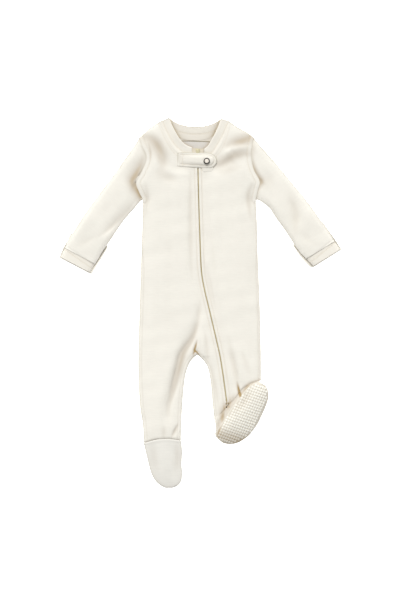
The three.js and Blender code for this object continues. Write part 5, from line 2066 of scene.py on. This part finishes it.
@dataclass
class Sleeve:
    """One sleeve with its wrist band and the mitt folded under it.

    Attributes:
        side: Which sleeve it is, left or right.
        start: Middle of the armhole.
        wrist: Middle of the wrist seam.
        puff: How much it stands up on top.
        half: Half the length of the wrist seam.
    """

    side: str
    start: tuple[float, float]
    wrist: tuple[float, float]
    puff: float = 1.4
    half: float = 27.0

    @property
    def ways(self) -> tuple[np.ndarray, np.ndarray]:
        """Unit directions across the sleeve and along it."""
        axis = np.subtract(self.wrist, self.start) / math.dist(self.wrist, self.start)
        return np.array([-axis[1], axis[0]]), axis

    def local(self, places: np.ndarray) -> tuple[np.ndarray, np.ndarray]:
        """Finds where places lie on the sleeve.

        Args:
            places: One row for each place.

        Returns:
            How far they are across, and along from the wrist seam.
        """
        across, along = self.ways
        off = places[:, :2] - np.array(self.wrist)
        return off @ across, off @ along

    def build(self) -> None:
        """Makes the sleeve, the band and the mitt."""
        self.tube()
        self.band()
        self.mitt()

    def tube(self) -> None:
        """Makes the flattened sleeve with its folds on top."""
        cloth = Cloth(f"sleeve_{self.side}", Slot.COTTON, Skin.AROUND)
        places = cloth.points
        up = cloth.normals()[:, 2]
        across, along = self.local(places)
        on_top = ease(up, 0.1, 0.6)
        hole, toward = (ARMHOLE_LEFT, 1) if self.side == "left" else (ARMHOLE_RIGHT, -1)
        gap, down = hole.locate(places)
        gap = np.abs(gap)
        height, tone = crease(SLEEVE_FOLDS, places)
        height = (height + drape(places, 0.4) + self.puff) * ease(gap, 0, 7) * on_top
        height -= 0.5 * bell(along, 0.0, 1.4) * on_top
        level = places[:, 2].copy()
        cloth.raise_by(height, 1.6 + 1.5 * ease(along, -62, -40))
        below = up <= 0.1
        places[below, 2] = level[below]
        cloth.tuck_under(hole, 2.2 * toward, 0.0, on_top * ease(down, 0, 4))
        cloth.tuck_under(hole, 0.0, 1.5, on_top * (0.08 + 0.92 * ease(down, 34, 62)))
        # Painted shadow of the front's edge, on the sleeve beside the armhole, and the painted shade of the
        # sleeve's folds.
        edge = (0.15 + 0.5 * bell(down, 30, 18)) * bell(gap, 0.0, 2.2) * on_top
        cloth.close(across, along, tone=tone * on_top, edge=edge)
        cloth.hand_over()

    def band(self) -> None:
        """Makes the wrist band, with its coverstitching."""
        cloth = Cloth(f"cuff_{self.side}", Slot.RIB, Skin.AROUND, wall=1.2)
        places = cloth.points
        up = cloth.normals()[:, 2]
        across, along = self.local(places)
        places[:, 2] += drape(places * 1.5, 0.15) * ease(up, 0.1, 0.6)
        cloth.close(across, along, seam_mark(along + 0.2, along - 5.4))
        cloth.hand_over()
        tree = cloth.tree()
        cross, axis = self.ways
        lines = Sewing(f"stitches_cuff_{self.side}", slot=Slot.RIB)
        for offset, slant in ((4.6, 14), (5.8, -14)):
            centre = np.array(self.wrist) + axis * offset
            ends = [tuple(centre + cross * reach) for reach in (-self.half, 0, self.half)]
            lines.line(tree, Course(ends), slant)
        lines.build()

    def mitt(self) -> None:
        """Makes the mitt, turned back under the wrist and thicker where it sticks out beside it."""
        cloth = Cloth(f"mitt_{self.side}", Slot.COTTON)
        places = cloth.points
        across, along = self.local(places)
        places[:, 2] *= 1 + 1.7 * ease(np.abs(across), 25.5, 28)
        cloth.close(across, along)
        cloth.hand_over()


@dataclass
class Feet:
    """The left foot on its sole, and the right foot turned over.

    Attributes:
        pitch: Distance between grip dots in a row.
        apart: Distance between rows.
        rows: Direction of the rows, in degrees from X.
        lean: Direction from row to row, in degrees from X.
        radius: Radius of a dot.
        inset: Least distance between a dot's middle and the sole's edge.
        high: Height of a dot.
        flush: Height of a dot that the foot stands on.
        pocket: How far the upper sinks beside the right sole.
        between: Shade on the sole between its dots.
        deepest: The most shade that the sole's folds give.
    """

    pitch: float = 3.75
    apart: float = 4.4
    rows: float = -19.0
    lean: float = 65.0
    radius: float = 1.75
    inset: float = 2.4
    high: float = 0.6
    flush: float = 0.1
    pocket: float = 1.2
    between: float = 0.45
    deepest: float = 1.0

    def build(self) -> None:
        """Makes both feet."""
        self.left_upper()
        sole = self.sole("sole_left", (59, 107), 5310, [])
        self.dots(sole, "grip_dots_left", below=True)
        sole = self.sole("sole_right", (48, 112), 4700, ["foot_right_upper"])
        self.dots(sole, "grip_dots_right", below=False)
        self.right_upper(sole)

    def left_upper(self) -> None:
        """Makes the upper of the left foot."""
        cloth = Cloth("foot_left_upper", Slot.COTTON, finish=SHADED_FOOT)
        places = cloth.points
        height, tone = crease(FOOT_FOLDS, places)
        cloth.raise_by(height + drape(places, 0.3), 2.4)
        rim = cloth.rim_clear_of(ANKLE_LEFT, reach=3.0)
        cloth.roll_edges(rim, 1.3, 3.5)
        gap = ANKLE_LEFT.gap(places)
        places[:, 2] += 0.5 * bell(gap, 2.2, 1.6) - 0.7 * bell(gap, 0.0, 1.1)
        cloth.close(places[:, 0], places[:, 1], seam_mark(gap - 0.3), tone)
        cloth.hand_over()

    def right_upper(self, sole: Cloth) -> None:
        """Makes the folded upper of the right foot, which lies under its sole.

        Args:
            sole: The right sole.
        """
        cloth = Cloth("foot_right_upper", Slot.COTTON, Skin.WHOLE)
        places = cloth.points
        tree = plan_tree(sole.points)
        out = np.array([tree.find((x, y, 0))[2] for x, y, _ in places])
        up = ease(cloth.normals()[:, 2], 0.1, 0.7)
        inner = ease(places[:, 0], 28, 36) * (1 - ease(places[:, 0], 60, 70))
        dip = -self.pocket * ease(out, 0.5, 5) * inner
        height, tone = crease(ANKLE_FOLDS, places)
        cloth.raise_by((height + dip) * up, np.where(up > 0, 1.2, -math.inf))
        cloth.tuck_under(ANKLE_RIGHT, 1.4, 0.3, up)
        cloth.close(places[:, 0], places[:, 1], tone=tone * up)
        cloth.hand_over()

    def sole(self, node: str, flat: tuple[float, float], area: float, rests_on: Sequence[str]) -> Cloth:
        """Makes one sole.

        Args:
            node: Its solid.
            flat: Width and length of its cut; not used.
            area: Area of its cut; not used.
            rests_on: What it lies on; not used.

        Returns:
            The finished sole.
        """
        cloth = Cloth(node, Slot.SOLE, wall=0.8)
        places = cloth.points
        height, tone = crease(SOLE_FOLDS, places)
        turned_up = node == "sole_right"
        if turned_up:
            places[:, 2] += height + drape(places, 0.3)
        room, _ = cloth.from_rim(cloth.rim)
        places[:, 2] -= (0.7 if turned_up else 0.3) * (1 - rounded(room, 2.0))
        # Painted shade of the sole's folds, and painted shade on the sole between its dots.
        cloth.shade = np.minimum(tone, self.deepest)
        tone = cloth.shade + self.between * ease(room, 0.9, 2.2)
        cloth.close(places[:, 0], places[:, 1], seam_mark(room - 1.6), tone)
        cloth.hand_over()
        return cloth

    def dots(self, sole: Cloth, name: str, below: bool) -> None:
        """Puts the grip dots on a sole.

        Args:
            sole: The sole.
            name: Name of the piece.
            below: Whether they go on its underside.
        """
        tree = sole.tree()
        low, high = sole.points.min(axis=0), sole.points.max(axis=0)
        ahead, aside = (
            np.array([math.cos(turn), math.sin(turn)]) for turn in map(math.radians, (self.rows, self.lean))
        )
        middle = (low + high)[:2] / 2
        count = int(max(high - low) / self.pitch)
        room = self.inset
        start, ray = (UNDER, UP) if below else (OVER, DOWN)
        ground = plan_tree(sole.points)
        places, painted_dot_shade = [], []
        for row in range(-count, count + 1):
            for column in range(-count, count + 1):
                spot = middle + ahead * column * self.pitch + aside * row * self.apart
                inside = [
                    tree.ray_cast(Vector((spot[0] + dx, spot[1] + dy, start)), ray)
                    for dx, dy in ((0, 0), (room, 0), (-room, 0), (0, room), (0, -room))
                ]
                hit, normal = inside[0][:2]
                if all(found[0] is not None for found in inside) and normal.z * ray.z < -0.3:
                    along = Vector((ahead[0], ahead[1], 0))
                    along -= normal * along.dot(normal)
                    places.append(frame_at(hit, along, normal))
                    painted_dot_shade.append(sole.shade[ground.find((hit[0], hit[1], 0))[1]])
        piece = repeat(name, dot_shape(self.radius, self.flush if below else self.high), places)
        corners = len(piece.data.vertices) // len(places)
        # Each dot takes the painted shade of the sole under it.
        painted_shade = piece.data.attributes.new("painted_shade", "FLOAT", "POINT")
        painted_shade.data.foreach_set("value", np.repeat(painted_dot_shade, corners).astype(np.float32))
        dress(piece, Slot.SOLE, GRIP)


# ---- Studio ----


@dataclass
class Studio:
    """Floor, lights and the camera straight above the garment.

    Attributes:
        floor: Side of the floor.
        lens: Focal length of the camera.
        view: Length of floor that the view's height shows.
        middle: How far above the origin, in plan, the view's middle lies.
        key: Strength of the soft light above the neck.
        softness: Angle that it fills in the sky, in degrees.
        sky: Strength of the light from all round.
        tilt: Angle between the soft light and the vertical, in degrees.
        reach: Distance between the soft light and the garment.
        aside: How far the soft light stands to the right, negative to the left.
        sensor: Longer side of the camera's sensor.
        tint: Colour of both lights.
    """

    floor: float = 7000.0
    lens: float = 100.0
    view: float = 930.0
    middle: float = 3.875
    key: float = 2.75
    softness: float = 32.0
    sky: float = 0.42
    tilt: float = 40.0
    reach: float = 3000.0
    aside: float = -350.0
    sensor: float = 36.0
    tint: tuple[float, float, float] = (1.0, 0.995, 0.985)

    def build(self) -> None:
        """Makes the studio."""
        self.camera()
        self.lights()
        self.ground()

    def camera(self) -> None:
        """Puts the camera above the garment, looking straight down."""
        data = bpy.data.cameras.new("camera")
        data.lens = self.lens
        data.sensor_width = self.sensor
        data.clip_end = 50.0
        camera = new_object("camera", data)
        camera.location = (0, self.middle * MM, self.view * self.lens / self.sensor * MM)
        bpy.context.scene.camera = camera

    def lights(self) -> None:
        """Lights the garment softly from above the neck and from all round."""
        world = bpy.data.worlds.new("studio")
        world.use_nodes = True
        background = world.node_tree.nodes["Background"]
        background.inputs["Color"].default_value = (*self.tint, 1.0)
        background.inputs["Strength"].default_value = self.sky
        bpy.context.scene.world = world
        data = bpy.data.lights.new("key", "SUN")
        data.angle = math.radians(self.softness)
        data.energy = self.key
        data.color = self.tint
        light = new_object("key", data)
        tilt = math.radians(self.tilt)
        place = Vector((self.aside, self.reach * math.sin(tilt), self.reach * math.cos(tilt))) * MM
        light.location = place
        light.rotation_euler = (-place).to_track_quat("-Z", "Y").to_euler()
        bpy.context.scene.view_settings.view_transform = "Standard"

    def ground(self) -> None:
        """Makes the pale floor."""
        bpy.ops.object.select_all(action="DESELECT")
        bpy.ops.mesh.primitive_plane_add(size=self.floor * MM, location=(0, 0, -0.02 * MM))
        floor = bpy.context.active_object
        floor.name = "studio_floor"
        recipe = Recipe("studio_floor")
        surface = {
            "Base Color": (0.95, 0.95, 0.95, 1.0),
            "Roughness": 0.95,
            "Emission Color": (1.0, 1.0, 1.0, 1.0),
            "Emission Strength": 1.0,
        }
        floor.data.materials.append(recipe.finish(surface))


def main() -> None:
    """Builds the garment and the studio."""
    logging.basicConfig(level=logging.INFO, format="%(message)s")
    Studio().build()
    Body().build()
    Neck().build()
    Zip().build()
    Tab().build()
    Sleeve("left", (-91.5, 207), (-185.7, 72.0)).build()
    Sleeve("right", (85.0, 207), (186.1, 81.1)).build()
    Feet().build()
    ShadePainter().mark(CLOTHS)


if __name__ == "__main__":
    main()
